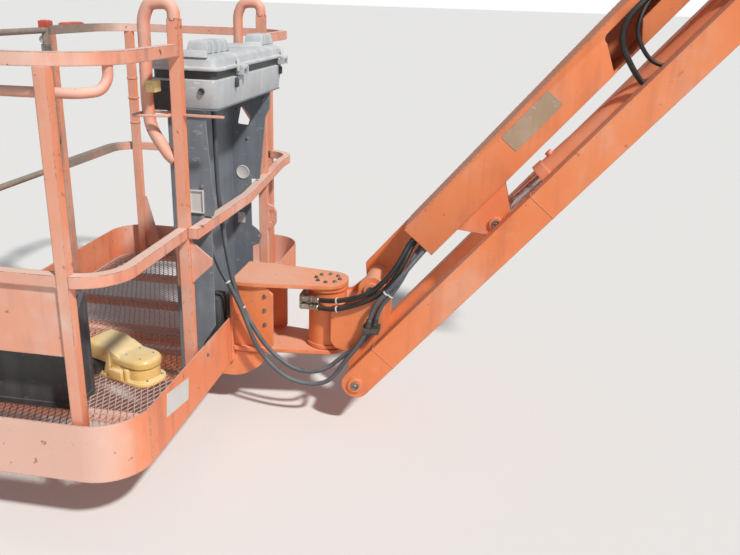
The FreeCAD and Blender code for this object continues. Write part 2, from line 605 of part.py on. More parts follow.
# Hand rail: a round bar inside the left end, below the top rail.
hand_y = half_width - g.rail_inset - g.tube_side - 30
hand_z = g.top_rail - 96
foot_y = hand_y - 70
bend_y = half_width - inset - g.top_corner
bend = g.top_corner - tube_half
foot_x = inset + g.top_corner - math.sqrt(bend ** 2 - (foot_y - bend_y) ** 2)
hand_half = [
    (foot_x, foot_y, g.top_rail - g.tube_side), (foot_x, foot_y, hand_z + 32),
    (foot_x + 10, foot_y + 22, hand_z + 4), (foot_x + 46, hand_y - 12, hand_z),
    (foot_x + 120, hand_y, hand_z), (g.platform_depth * 0.36, hand_y, hand_z - 1),
]
hand_points = hand_half + [(g.platform_depth - x, y, z) for x, y, z in reversed(hand_half)]
node(cut("hand_rail", pipe("hand_rail_bar", hand_points, 13), *posts[0:2]), "hand_rail", "platform")

# Hoops beside the console: from each rear post's top, over and down to the post again.
leg = g.rail_inset + tube_half
front_leg = leg + g.hoop_reach
hoops = []
for side, y in (("left", g.rear_post_y), ("right", -g.rear_post_y)):
    top = g.hoop_top - g.hoop_radius
    points = [
        (leg, y, top - 47), (leg + 1, y, top - 18), (leg + 16, y, top - 2), (leg + 44, y, top),
        (front_leg - 18, y, top - 6), (front_leg, y, top - 44), (front_leg, y, top - 120),
        (front_leg + 4, y, g.hoop_low + 160), (front_leg - 4, y, g.hoop_low + 90),
        (leg + tube_half + 20, y, g.hoop_low + 14), (leg + tube_half, y, g.hoop_low),
    ]
    hoops.append(cut("hoop_" + side, pipe("hoop_bar_" + side, points, g.hoop_radius),
                     posts[4 if side == "left" else 5]))
node(group("console_hoops", *hoops), "console_hoops", "platform")

# Bars beside the console, across the left rear post, that brace the hoop's lower end.
brace_z = g.console_low - 26
braces = [block("hoop_brace_" + name, length, "12", "20", (x, "rear_post_y - 6", "%g" % brace_z))
          for name, length, x in (("rear", "94", "rail_inset - 94"), ("front", "60", "rail_inset + tube_side"))]
node(group("hoop_braces", *(cut(bar.Name + "_cut", bar, *hoops) for bar in braces)), "hoop_braces", "platform")

# Pedestal: a folded channel, open towards the boom, with a left, a front and a right plate.
top = g.console_low - g.sheet_thick
front = g.pedestal_front
over, under = g.mid_rail + 8, g.mid_rail - g.tube_side - 8
near_outline = [
    (front, g.floor_top, 0), (front, top, 0), (-7, top, 0), (-21, 700, 0), (-32, over + 40, 10), (-22, over, 3),
    (20, over, 3), (20, under, 3), (-15, under, 3), (-15, 220, 20), (30, 150, 30), (30, g.floor_top, 0),
]
far_outline = [
    (front, g.floor_top, 0), (front, top, 0), (-46, top, 0), (-45, 868, 8), (-27, 834, 20), (-22, 784, 20),
    (-2, over + 10, 4), (0, over, 3), (32, over, 3), (32, under, 3), (35, 500, 10), (34, 412, 4), (10, 394, 8),
    (-6, 372, 8), (8, 336, 8), (32, 326, 4),
    (34, g.floor_top, 0),
]
window = [(66, 874, 6), (81, 803, 6), (40, 800, 6), (30, 832, 6)]
sides = [plate("pedestal_near_side", [near_outline], "sheet_thick", "xz",
               ("0", "pedestal_near - sheet_thick", "0")),
         plate("pedestal_far_side", [far_outline, window, (4, 370, 5)], "sheet_thick", "xz", ("0", "pedestal_far", "0"))]
front_plate = block("pedestal_front_plate", "sheet_thick", "pedestal_near - pedestal_far",
                    "console_low - sheet_thick - floor_top",
                    ("pedestal_front - sheet_thick", "pedestal_far", "floor_top"))
shelf = block("pedestal_shelf", "console_depth - 20", "console_near - console_far - 20", "sheet_thick",
              ("console_rear + 10", "console_far + 10", "console_low - sheet_thick"))
pedestal = node(fuse("console_pedestal", *sides, front_plate, shelf), "console_pedestal", "platform")

# Document holder: a shallow frame on the pedestal's left plate.
holder_hollow = block("holder_hollow", "38", "20", "66", ("10", "pedestal_near + 2", "609"))
holder = cut("holder_frame", block("holder_block", "46", "7", "74", ("6", "pedestal_near", "605")), holder_hollow)
node(holder, "document_holder", "platform")

# Console box: a moulded tray, open at the top.
near, far = g.console_near, g.console_far
rear, fore = g.console_rear, g.console_rear + g.console_depth


def console_loop(out, radius):
    """The console's outline in plan, set out or in by a distance."""
    return [(rear - out, near + out, radius), (rear - out, far - out, radius),
            (fore + out, far - out, radius), (fore + out, near + out, radius)]


box_height = "console_split - console_low - lid_gap"
tray = plate("console_tray", [console_loop(0, 26)], box_height, "xy", ("0", "0", "console_low"))
hollow = plate("console_hollow", [console_loop(-g.console_wall, 20)], box_height + " - 40", "xy",
               ("0", "0", "console_low + 60"))
node(cut("console_box", tray, hollow), "console_box", "platform")
lever_x = (rear + fore) / 2 + 8
lever_ys = [near + (far - near) * part for part in (0.16, 0.38, 0.62, 0.84)]
levers = [fuse("lever_%d" % i,
               rod("lever_%d_stem" % i, "5", "26", ("%g" % lever_x, "%g" % y, "console_low + 60")),
               rod("lever_%d_knob" % i, "11", "12", ("%g" % lever_x, "%g" % y, "console_low + 84")))
          for i, y in enumerate(lever_ys)]
node(group("control_levers", *levers), "control_levers", "platform")

# Lid of the console: a shallow cover with ribbed lugs; its hinge sleeves stand behind its rear edge.
lid_height = "console_top - console_split"
lid_solid = plate("lid_solid", [console_loop(g.lid_edge, 34)], lid_height, "xy", ("0", "0", "console_split"))
lid_hollow = plate("lid_hollow", [console_loop(-g.console_wall, 20)], lid_height + " - console_wall", "xy",
                   ("0", "0", "console_split"))
lid_lugs = []
for i, (low_y, high_y) in enumerate(((104, near), (far, -208))):
    lug_outline = [(low_y, g.console_top - 1, 0), (low_y + 12, g.console_top + 32, 6),
                   (high_y - 8, g.console_top + 40, 6), (high_y, g.console_top - 1, 0)]
    lid_lugs.append(plate("lid_lug_%d" % i, [lug_outline], "64", "yz", ("console_rear + 34", "0", "0")))
hinge_x, hinge_z = "console_rear - lid_edge - 9", "console_split"
sleeves, brackets = [], []
for i, part in enumerate((0.28, 0.94)):
    y = "%g" % (near + (far - near) * part)
    name = "lid_hinge_%d" % i
    tube = rod(name + "_tube", "8", "34", (hinge_x, y, hinge_z), "y")
    leaf = block(name + "_leaf", "14", "34", "7", (hinge_x, y + " - 17", hinge_z))
    bore = rod(name + "_bore", "lid_pin + run_gap", "60", (hinge_x, y, hinge_z), "y")
    sleeves.append(cut(name + "_sleeve", fuse(name + "_body", tube, leaf), bore))
    pin = rod(name + "_pin", "lid_pin", "54", (hinge_x, y, hinge_z), "y")
    cheek = [("%s %s 22" % (y, sign)) for sign in "+-"]
    ears_of = [rod("%s_ear_%d" % (name, j), "7", "8", (hinge_x, at_y, hinge_z), "y") for j, at_y in enumerate(cheek)]
    arms = [block("%s_arm_%d" % (name, j), "lid_edge + 16", "8", "18",
                  (hinge_x + " - 7", at_y + " - 4", hinge_z + " - 22")) for j, at_y in enumerate(cheek)]
    webs = [block("%s_web_%d" % (name, j), "13", "8", "22", (hinge_x + " - 7", at_y + " - 4", hinge_z + " - 20"))
            for j, at_y in enumerate(cheek)]
    brackets.append(fuse(name, pin, *ears_of, *arms, *webs))
node(group("lid_hinge_brackets", *brackets), "lid_hinge_brackets", "platform")
node(fuse("console_lid", cut("lid_shell", lid_solid, lid_hollow), *lid_lugs, *sleeves), "console_lid", "console_lid")

# Entry gate: a frame of round tube in the front bay, on two hinge pins.
gate_x = "platform_depth - rail_inset - tube_side / 2"
stile = "gate_post_y - tube_side / 2 - gate_gap - gate_tube"
gate_low = "mid_rail - tube_side / 2"
gate_high = "top_rail - tube_side / 2"
stiles = [rod("gate_stile_%d" % i, "gate_tube", "top_rail - mid_rail + 2 * gate_tube - 6",
              (gate_x, sign + "(" + stile + ")", gate_low + " - gate_tube + 3"))
          for i, sign in enumerate(("", "-"))]
bars = [rod("gate_bar_%d" % i, "gate_tube - 1", "2 * (%s)" % stile, (gate_x, "0", z), "y")
        for i, z in enumerate((gate_low, gate_high))]
node(fuse("entry_gate", *stiles, *bars), "entry_gate", "entry_gate")

# Hinge collars on the right gate post, round the gate's stile.
collars = []
for i, z in enumerate((80, 440)):
    at = (gate_x, "-(" + stile + ")", "mid_rail + %d" % z)
    body = fuse("gate_collar_body_%d" % i, rod("gate_collar_%d" % i, "gate_tube + 6", "26", at),
                block("gate_collar_web_%d" % i, "20", "gate_tube + gate_gap", "26",
                      (gate_x + " - 10", "-gate_post_y + tube_side / 2", at[2])))
    collars.append(cut("gate_hinge_%d" % i, body,
                       rod("gate_collar_bore_%d" % i, "gate_tube + run_gap", "60", at[:2] + (at[2] + " - 10",)),
                       posts[7]))
node(group("gate_hinges", *collars), "gate_hinges", "platform")

# Manual box and the panel over it, at the left end.
panel = block("end_panel_sheet", "platform_depth - rail_inset - mid_corner - end_post_x - tube_side / 2 - 2", "4",
              "196", ("end_post_x + tube_side / 2 + 2", "platform_width / 2 - rail_inset - tube_side / 2",
                      "mid_rail - tube_side - 196"))
node(panel, "end_panel", "platform")
panel_y = half_width - g.rail_inset - tube_half
box_near = panel_y - 84
manual_outline = [
    (box_near, 150, 6), (box_near, 352, 20), (box_near - 98, 468, 20), (box_near - 112, 440, 20),
    (box_near - 112, 150, 6),
]
manual_shell = plate("manual_shell", [manual_outline], "385", "yz", ("212", "0", "0"))
manual_feet = [block("manual_foot_%d" % i, "40", "110", "18", ("%g" % x, "%g" % (panel_y - 110), "366"))
               for i, x in enumerate((250, 500))]
node(fuse("manual_box", manual_shell, *manual_feet), "manual_box", "platform")

# Foot gussets on the front end posts, and a lanyard anchor on the right rear post.
foot_rear = g.platform_depth - g.front_post_x - tube_half
foot_outline = [(foot_rear, g.floor_top, 0), (foot_rear, 335, 0), (foot_rear - 14, 335, 4), (foot_rear - 80, 64, 10),
                (foot_rear - 80, g.floor_top, 0)]
feet = [plate("post_foot_" + side, [foot_outline], "6", "xz",
              ("0", sign + "(platform_width / 2 - rail_inset - tube_side / 2 - front_post_in) - 3", "0"))
        for side, sign in (("left", ""), ("right", "-"))]
node(group("post_feet", *feet), "post_feet", "platform")
anchor_outline = [(inset, 462, 0), (-12, 452, 8), (-22, 430, 8), (-22, 386, 8), (-12, 368, 8), (inset, 358, 0)]
anchor_hole = [(4, 440, 4), (-12, 432, 4), (-12, 388, 4), (4, 380, 4)]
node(plate("lanyard_anchor", [anchor_outline, anchor_hole], "14", "xz", ("0", "-rear_post_y - 7", "0")),
     "lanyard_anchor", "platform")

# Foot switch on the floor, turned towards the middle of the platform.
pedal = [
    (-165, 0, 0), (-165, 62, 10), (-62, 112, 8), (-50, 112, 4), (-50, 56, 0), (-8, 56, 0), (-8, 100, 8),
    (20, 100, 20), (60, 84, 20), (165, 84, 10), (165, 0, 0),
]
pedal_body = plate("pedal_body", [pedal], "130", "xz", ("0", "-65", "0"))
foot_switch = cut("foot_switch_body", pedal_body, block("pedal_toe", "60", "96", "34", ("-167", "-48", "14")))
foot_switch.Placement = Placement(Vector(300, 322, g.floor_top), Rotation(Vector(0, 0, 1), 136))
node(group("foot_switch", foot_switch), "foot_switch", "platform")

# Blocks inside and under the upper arm where the hoses end, and their clamp on the knuckle.
block_in = block("hose_block_platform", "28", "88", "92", ("jib_length - 400", "-20", "-beam_height / 2 + beam_wall"))
block_out = block("hose_block_slot", "25", "68", "86", ("170", "0", "-beam_height / 2 + beam_wall"))
bulkhead = block("hose_bulkhead", "62", "25", "36", ("318", "55", "-beam_height / 2 - 36"))
hose_blocks = node(group("hose_blocks", block_in, block_out, bulkhead), "hose_blocks", "upper_arm")
clamp = block("hose_clamp_block", "56", "53", "20", ("-73", PLATE_OUT, "196"))
hose_clamp = node(clamp, "hose_clamp", "knuckle")

# Hoses and cables, in metres: the arm's from its hose block, the cables from the platform's rear edge.
drop_x, drop_z = math.cos(drop), math.sin(drop)
arm_pin = Vector(g.nose_reach - g.pin_rake, 0, g.pin_rise - g.nose_drop)
platform_at = Vector(g.nose_reach + g.jib_length * drop_x + g.axis_ahead + g.axis_behind, 0,
                     g.base_rise - g.nose_drop - g.jib_length * drop_z)


def on_arm(x, y, z):
    """A point of the upper arm, in metres from its nose pin."""
    return arm_pin + Vector(x * drop_x + z * drop_z, y, z * drop_x - x * drop_z) * 1000


def on_platform(x, y, z):
    """A point in metres from the middle of the platform's rear edge."""
    return platform_at + Vector(x, y, z) * 1000


def hose(label, points, radius, *ends):
    """A hose whose ends are cut off where they enter other pieces."""
    node(cut(label, pipe(label + "_run", points, radius), *ends), label, "nose")


hose("rotator_hose_1", [
    on_arm(1.450, 0.045, 0.022), on_arm(1.600, 0.058, 0.022), on_platform(-0.602, 0.105, 0.440),
    on_platform(-0.560, 0.128, 0.372), on_platform(-0.500, 0.130, 0.315), on_platform(-0.430, 0.118, 0.284),
    on_platform(-0.360, 0.098, 0.262), on_platform(-0.285, 0.076, 0.255)], g.hose_radius, hose_blocks, port_node)
hose("rotator_hose_2", [
    on_arm(1.450, 0.020, 0.012), on_arm(1.600, 0.036, 0.012), on_platform(-0.612, 0.092, 0.425),
    on_platform(-0.572, 0.117, 0.347), on_platform(-0.505, 0.119, 0.290), on_platform(-0.430, 0.117, 0.256),
    on_platform(-0.362, 0.111, 0.234), on_platform(-0.285, 0.074, 0.228)], g.hose_radius, hose_blocks, port_node)
hose("arm_cable_1", [
    on_arm(1.450, 0.018, -0.016), on_arm(1.600, 0.026, -0.014), on_platform(-0.610, 0.105, 0.370),
    on_platform(-0.570, 0.116, 0.305), on_platform(-0.530, 0.119, 0.255),
    on_platform(-0.522, 0.118, 0.186)], g.cable_radius, hose_blocks, hose_clamp)
hose("arm_cable_2", [
    on_arm(1.450, 0.042, -0.036), on_arm(1.600, 0.050, -0.037), on_platform(-0.606, 0.131, 0.384),
    on_platform(-0.550, 0.137, 0.315), on_platform(-0.511, 0.139, 0.260),
    on_platform(-0.502, 0.138, 0.186)], g.cable_radius, hose_blocks, hose_clamp)
hose("platform_cable_1", [
    on_platform(-0.522, 0.118, 0.186), on_platform(-0.485, 0.119, 0.130), on_platform(-0.440, 0.118, 0.092),
    on_platform(-0.399, 0.119, 0.054), on_platform(-0.355, 0.120, 0.012), on_platform(-0.297, 0.124, -0.007),
    on_platform(-0.235, 0.128, 0.003), on_platform(-0.180, 0.132, 0.042), on_platform(-0.130, 0.138, 0.095),
    on_platform(-0.075, 0.140, 0.187), on_platform(-0.035, 0.140, 0.272), on_platform(-0.003, 0.128, 0.392),
    on_platform(0.024, 0.103, 0.528), on_platform(0.034, 0.100, 0.625), on_platform(0.039, 0.094, 0.730),
    on_platform(0.043, 0.088, 0.830), on_platform(0.046, 0.085, 0.930)], g.cable_radius, hose_clamp, pedestal)
hose("platform_cable_2", [
    on_platform(-0.502, 0.138, 0.186), on_platform(-0.468, 0.139, 0.118), on_platform(-0.428, 0.140, 0.066),
    on_platform(-0.402, 0.141, 0.020), on_platform(-0.366, 0.142, -0.028), on_platform(-0.300, 0.144, -0.046),
    on_platform(-0.225, 0.148, -0.031), on_platform(-0.165, 0.154, 0.016), on_platform(-0.106, 0.160, 0.095),
    on_platform(-0.064, 0.160, 0.219), on_platform(-0.024, 0.160, 0.303), on_platform(0.016, 0.158, 0.367),
    on_platform(0.044, 0.152, 0.440), on_platform(0.056, 0.146, 0.528), on_platform(0.058, 0.144, 0.625),
    on_platform(0.062, 0.138, 0.730), on_platform(0.064, 0.130, 0.830), on_platform(0.067, 0.128, 0.930)],
     g.cable_radius, hose_clamp, pedestal)
hose("slot_hose_1", [
    on_arm(0.185, 0.045, 0.012), on_arm(0.262, 0.052, 0.017), on_arm(0.330, 0.078, 0.021),
    on_arm(0.398, 0.091, 0.016), on_arm(0.452, 0.089, -0.016), on_arm(0.484, 0.080, -0.075),
    on_arm(0.495, 0.070, -0.135), on_arm(0.480, 0.071, -0.190), on_arm(0.438, 0.070, -0.222),
    on_arm(0.385, 0.071, -0.215), on_arm(0.346, 0.070, -0.170), on_arm(0.334, 0.069, -0.080)],
     g.hose_radius, hose_blocks)
hose("slot_hose_2", [
    on_arm(0.185, 0.018, 0.012), on_arm(0.250, 0.028, 0.016), on_arm(0.310, 0.049, 0.009),
    on_arm(0.365, 0.074, -0.003), on_arm(0.420, 0.089, -0.022), on_arm(0.453, 0.082, -0.072),
    on_arm(0.467, 0.071, -0.122), on_arm(0.455, 0.072, -0.164), on_arm(0.422, 0.071, -0.185),
    on_arm(0.388, 0.072, -0.172), on_arm(0.368, 0.071, -0.136), on_arm(0.362, 0.070, -0.080)],
     6.5, hose_blocks)

doc.recompute()
failed = [obj.Name for obj in doc.Objects if "Invalid" in obj.State or "Error" in obj.State]
if failed:
    raise RuntimeError("failed features: " + ", ".join(failed))
for obj, label, body in NODES:
    if obj.Shape.isNull() or not obj.Shape.isValid() or not obj.Shape.Solids:
        raise RuntimeError("bad shape: " + label)
for obj, label, body in NODES:
    obj.Shape.exportStep("parts/%s.step" % label)
print(len(NODES), "nodes written")
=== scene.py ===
import json
import math

import bmesh
import bpy
from mathutils import Matrix, Vector


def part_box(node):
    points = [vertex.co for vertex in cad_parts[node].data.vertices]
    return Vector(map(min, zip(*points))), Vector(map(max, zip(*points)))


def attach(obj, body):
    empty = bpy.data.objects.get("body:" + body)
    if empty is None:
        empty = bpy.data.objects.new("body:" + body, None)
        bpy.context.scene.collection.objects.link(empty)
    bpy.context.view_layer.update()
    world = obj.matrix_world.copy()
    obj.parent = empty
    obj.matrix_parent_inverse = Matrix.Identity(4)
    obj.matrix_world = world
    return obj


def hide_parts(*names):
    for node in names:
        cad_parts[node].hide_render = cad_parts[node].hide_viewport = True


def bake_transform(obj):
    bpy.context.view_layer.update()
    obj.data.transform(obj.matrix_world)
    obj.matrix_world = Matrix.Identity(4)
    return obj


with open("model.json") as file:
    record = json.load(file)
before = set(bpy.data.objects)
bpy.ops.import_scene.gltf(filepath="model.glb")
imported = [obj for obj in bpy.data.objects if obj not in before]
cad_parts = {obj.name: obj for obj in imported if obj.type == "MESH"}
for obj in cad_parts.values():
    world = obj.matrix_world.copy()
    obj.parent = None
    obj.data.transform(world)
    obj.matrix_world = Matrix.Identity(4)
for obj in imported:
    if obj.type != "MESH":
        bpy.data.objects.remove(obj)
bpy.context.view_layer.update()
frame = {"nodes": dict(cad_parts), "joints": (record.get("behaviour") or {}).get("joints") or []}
scene = bpy.context.scene
nodes = frame["nodes"]

# The view is from the machine's left, a little above the rails, over the jib's fold.
# Place, turn and lens come from a pinhole camera fitted to the rails, the posts and the toe board.
base_x = next(j["pos_m"][0] for j in frame["joints"] if j["name"] == "platform_swing") + 0.330
base_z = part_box("toe_board")[0][2]


def on_platform(x, y, z):
    """A point given from the middle of the platform's rear edge, at the toe board's foot."""
    return Vector((base_x + x, y, base_z + z))


camera_at = on_platform(-0.885, 2.5466, 1.2558)
camera_yaw, camera_pitch, camera_roll = 0.157, 0.3453, 0.0329
focal_pixels, photo_width = 771.7, 740
ahead = Vector((math.sin(camera_yaw) * math.cos(camera_pitch),
                -math.cos(camera_yaw) * math.cos(camera_pitch), -math.sin(camera_pitch)))
level_right = Vector((-math.cos(camera_yaw), -math.sin(camera_yaw), 0))
level_up = level_right.cross(ahead)
right = math.cos(camera_roll) * level_right + math.sin(camera_roll) * level_up
up = math.cos(camera_roll) * level_up - math.sin(camera_roll) * level_right
lens = bpy.data.cameras.new("camera")
lens.sensor_width = 36
lens.lens = 36 * focal_pixels / photo_width
lens.clip_end = 400
camera = bpy.data.objects.new("camera", lens)
camera.matrix_world = Matrix((
    (right.x, up.x, -ahead.x, camera_at.x),
    (right.y, up.y, -ahead.y, camera_at.y),
    (right.z, up.z, -ahead.z, camera_at.z),
    (0, 0, 0, 1)))
scene.collection.objects.link(camera)
scene.camera = camera

# A low sun comes over the camera's right shoulder, and an even pale sky fills the shade.
# The floor is a plain pale sheet below the platform, and the sky is white to look at.
scene.view_settings.view_transform = "Standard"
sun = bpy.data.lights.new("sun", "SUN")
sun.energy = 3.3
sun.angle = math.radians(4)
sun.color = (1.0, 0.97, 0.93)
sun_lamp = bpy.data.objects.new("sun", sun)
sun_lamp.rotation_euler = Vector((0.52, -0.46, -0.74)).to_track_quat("-Z", "Y").to_euler()
scene.collection.objects.link(sun_lamp)


class Field:
    """A value or colour that varies over a surface, so that shading is written as plain sums."""

    def __init__(self, tree, socket=None):
        self.tree = tree
        self.socket = socket

    def node(self, kind, inputs, output=0, **settings):
        """Adds a node: its settings first, then its sockets' values or links."""
        made = self.tree.nodes.new(kind)
        for name, value in settings.items():
            setattr(made, name, value)
        for name, value in inputs.items():
            if isinstance(value, Field):
                self.tree.links.new(value.socket, made.inputs[name])
            else:
                made.inputs[name].default_value = value
        return Field(self.tree, made.outputs[output])

    def math(self, operation, other=0.0, swapped=False, clamp=False):
        first, second = (other, self) if swapped else (self, other)
        return self.node("ShaderNodeMath", {0: first, 1: second}, operation=operation, use_clamp=clamp)

    def __add__(self, other):
        return self.math("ADD", other)

    __radd__ = __add__

    def __sub__(self, other):
        return self.math("SUBTRACT", other)

    def __rsub__(self, other):
        return self.math("SUBTRACT", other, swapped=True)

    def __mul__(self, other):
        return self.math("MULTIPLY", other)

    __rmul__ = __mul__

    def held(self):
        """The same value, held between 0 and 1."""
        return self.math("ADD", 0.0, clamp=True)

    def step(self, low, high):
        """0 below low, 1 above high, with a smooth rise between."""
        return self.node("ShaderNodeMapRange", {"Value": self, "From Min": low, "From Max": high},
                         interpolation_type="SMOOTHSTEP")

    def blend(self, first, second):
        """A colour: the first where this value is 0, the second where it is 1."""
        return self.node("ShaderNodeMix", {0: self, 6: first, 7: second}, output=2, data_type="RGBA")

    def noise(self, scale, detail=3.0, stretch=(1, 1, 1), seed=0.0, roughness=0.55):
        """Cloudy noise at a number of spots a metre, drawn out along an axis by a small stretch."""
        place = self.node("ShaderNodeMapping", {"Vector": self, "Location": (seed, seed * 0.7, -seed),
                                                "Scale": stretch})
        return self.node("ShaderNodeTexNoise", {"Vector": place, "Scale": scale, "Detail": detail,
                                                "Roughness": roughness})


def new_finish(name):
    """A material with its surface shader, and the coordinates that its patterns lie on."""
    material = bpy.data.materials.new(name)
    material.use_nodes = True
    tree = material.node_tree
    shader = tree.nodes["Principled BSDF"]
    place = Field(tree).node("ShaderNodeTexCoord", {}, output="Object")
    return material, shader, place


def feed(shader, **inputs):
    """Sets or links the shader's sockets; underscores stand for the spaces in their names."""
    for name, value in inputs.items():
        target = shader.inputs[name.replace("_", " ")]
        if isinstance(value, Field):
            value.tree.links.new(value.socket, target)
        else:
            target.default_value = value


world = bpy.data.worlds.new("sky")
scene.world = world
world.use_nodes = True
sky = Field(world.node_tree)
looked_at = sky.node("ShaderNodeLightPath", {}, output="Is Camera Ray")
mirrored = sky.node("ShaderNodeLightPath", {}, output="Is Glossy Ray")
through = sky.node("ShaderNodeLightPath", {}, output="Is Transmission Ray")
seen = (looked_at + mirrored * 0.4 + through).held()
light = sky.node("ShaderNodeBackground", {"Color": (0.86, 0.92, 1.0, 1), "Strength": 0.27})
white = sky.node("ShaderNodeBackground", {"Color": (1, 1, 1, 1), "Strength": 1.0})
backdrop = sky.node("ShaderNodeMixShader", {0: seen, 1: light, 2: white})
world.node_tree.links.new(backdrop.socket, world.node_tree.nodes["World Output"].inputs["Surface"])

bpy.ops.object.select_all(action="DESELECT")
bpy.ops.mesh.primitive_plane_add(size=400, location=(base_x, 0, base_z - 0.20))
floor = bpy.context.object
floor.name = "floor"
floor_finish, floor_shader, floor_place = new_finish("pale floor")
feed(floor_shader, Base_Color=(0.80, 0.80, 0.79, 1), Roughness=0.9)
floor.data.materials.append(floor_finish)


# The nose bracket hangs the jib on the main boom: two profiled steel plates, welded to a cross piece and a
# boss for the boom pin. Like the whole jib it is sprayed orange, sun-faded on top and chipped at its edges.
def sprayed_steel(name, coat, faded, chip_share=0.5, dirt=0.5, dust=0.3, bleach=0.3, scuffs=0.4, seed=0.0,
                  gloss=0.42, bare_past=None, bleached_end=0.0):
    """Sprayed paint on steel that has stood outside: faded, dirty in patches, chipped along its edges.

    bare_past is the x past which hands and gates have rubbed the paint down to grey steel, and
    bleached_end the share to which faces at the platform's left end have gone white in the sun.
    """
    material, shader, place = new_finish(name)
    facing = place.node("ShaderNodeTexCoord", {}, output="Normal")
    upward = place.node("ShaderNodeSeparateXYZ", {"Vector": facing}, output="Z")
    flat = place.node("ShaderNodeNewGeometry", {}, output="Normal")
    soft = place.node("ShaderNodeBevel", {"Radius": 0.005}, samples=4)
    turned = place.node("ShaderNodeVectorMath", {0: soft, 1: flat}, output="Value", operation="DOT_PRODUCT")
    edge = ((1 - turned) * 5.0).held()
    broad = place.noise(2.2, 4.0, seed=seed)
    cloud = place.noise(10, 5.0, seed=seed + 3)
    fine = place.noise(75, 5.0, seed=seed + 5, roughness=0.65)
    grain = place.noise(420, 2.0, seed=seed + 7)
    runs = place.noise(24, 4.0, stretch=(1, 1, 0.10), seed=seed + 9)
    scrape = place.noise(9, 3.0, stretch=(1, 14, 3), seed=seed + 11)
    scratch = place.noise(14, 2.0, stretch=(3, 1.5, 22), seed=seed + 13)

    fade = (upward * 0.45 + broad * 1.5 + cloud * 0.5 - 0.80).step(-0.05, 0.75)
    colour = fade.blend(coat, faded)
    deep = (cloud * 0.7 + runs * 0.9 - upward * 0.20).step(0.74, 1.08) * dirt
    colour = deep.blend(colour, (coat[0] * 0.50, coat[1] * 0.42, coat[2] * 0.60, 1))
    powder = ((upward - 0.35).held() * (broad * 1.6 - 0.2) * dust * 1.5).held()
    colour = powder.blend(colour, (0.78, 0.64, 0.57, 1))
    washed = (broad * 0.9 + cloud * 0.45 + upward * 0.10 - 0.10).step(0.60, 0.86) * bleach
    if bleached_end:
        leftward = place.node("ShaderNodeSeparateXYZ", {"Vector": facing}, output="Y")
        washed = washed + (leftward + cloud * 0.5 + broad * 0.4).step(0.75, 1.45) * bleached_end
    colour = washed.held().blend(colour, (0.78, 0.52, 0.43, 1))
    rub = (scrape * 0.5 + scratch * 0.5).step(0.54, 0.68) * (cloud * 1.6 - 0.45).held() * scuffs
    colour = rub.blend(colour, (0.78, 0.60, 0.52, 1))
    pale = (edge * 0.62 + fine * 0.5 + cloud * 0.4 - 0.42).step(0.36, 0.52) * 0.75
    colour = pale.blend(colour, (0.46, 0.36, 0.32, 1))
    chips = (edge * 0.30 * chip_share + fine * 0.8 + cloud * 0.35).step(0.795, 0.825)
    dents = (place.noise(33, 2.0, seed=seed + 15) * 0.9 + grain * 0.15).step(0.715, 0.735) * chip_share
    worn = (chips + dents).held()
    rusty = (fine * 0.6 + grain * 0.6).step(0.45, 0.75)
    rust = rusty.blend((0.075, 0.060, 0.058, 1), (0.22, 0.080, 0.035, 1))
    colour = worn.blend(colour, rust)
    if bare_past is not None:
        along = place.node("ShaderNodeSeparateXYZ", {"Vector": place}, output="X")
        bare = ((along - bare_past) * 20 + cloud * 2.0 - 0.9).held() * (0.55 + fine * 0.6)
        colour = bare.held().blend(colour, (0.20, 0.185, 0.155, 1))
    height = grain * 0.10 + fine * 0.25 - worn * 0.9
    relief = place.node("ShaderNodeBump", {"Strength": 0.55, "Distance": 0.0008, "Height": height,
                                           "Normal": soft})
    feed(shader, Base_Color=colour, Roughness=gloss + fade * 0.20 + worn * 0.25 + powder * 0.2,
         Normal=relief)
    return material


def painted(finish, *names):
    """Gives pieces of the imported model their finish."""
    for name in names:
        nodes[name].data.materials.clear()
        nodes[name].data.materials.append(finish)


jib_paint = sprayed_steel("jib paint, sun-faded", (0.84, 0.235, 0.078, 1), (0.88, 0.360, 0.190, 1),
                          chip_share=0.45, dirt=0.30, bleach=0.30, scuffs=0.30, seed=1)
painted(jib_paint, "nose_plates", "nose_cross", "nose_pins")


# Every pin of the jib is a steel bar with a painted head; its bare turned end shows in the middle,
# oiled and dulled, with a grease nipple. One end is modelled and copied to all the pins.
def worn_metal(name, light, dark, roughness, metallic=0.9, seed=0.0):
    """Bare steel, dulled by weather and grease."""
    material, shader, place = new_finish(name)
    soft = place.node("ShaderNodeBevel", {"Radius": 0.0015}, samples=4)
    cloud = place.noise(40, 4.0, seed=seed)
    grain = place.noise(300, 3.0, seed=seed + 2)
    mask = (cloud * 0.7 + grain * 0.5).step(0.42, 0.78)
    feed(shader, Base_Color=mask.blend(light, dark), Roughness=roughness + mask * 0.3,
         Metallic=metallic - mask * 0.5 * metallic,
         Normal=place.node("ShaderNodeBump", {"Strength": 0.5, "Distance": 0.0004, "Height": grain,
                                              "Normal": soft}))
    return material


def only(made):
    """Makes one object the selected and active one."""
    bpy.ops.object.select_all(action="DESELECT")
    made.select_set(True)
    bpy.context.view_layer.objects.active = made


def took_shape(name):
    """Names the primitive just added and sets its place, turn and size into its mesh."""
    made = bpy.context.object
    made.name = made.data.name = name
    bpy.ops.object.transform_apply(location=True, rotation=True, scale=True)
    return made


def round_bar(name, sides, radius, length, place=(0, 0, 0), turn=(0, 0, 0)):
    """A cylinder primitive at its size and place, in edit mode, ready to be shaped."""
    bpy.ops.object.select_all(action="DESELECT")
    bpy.ops.mesh.primitive_cylinder_add(vertices=sides, radius=radius, depth=length, location=place,
                                        rotation=turn)
    made = took_shape(name)
    bpy.ops.object.mode_set(mode="EDIT")
    return made


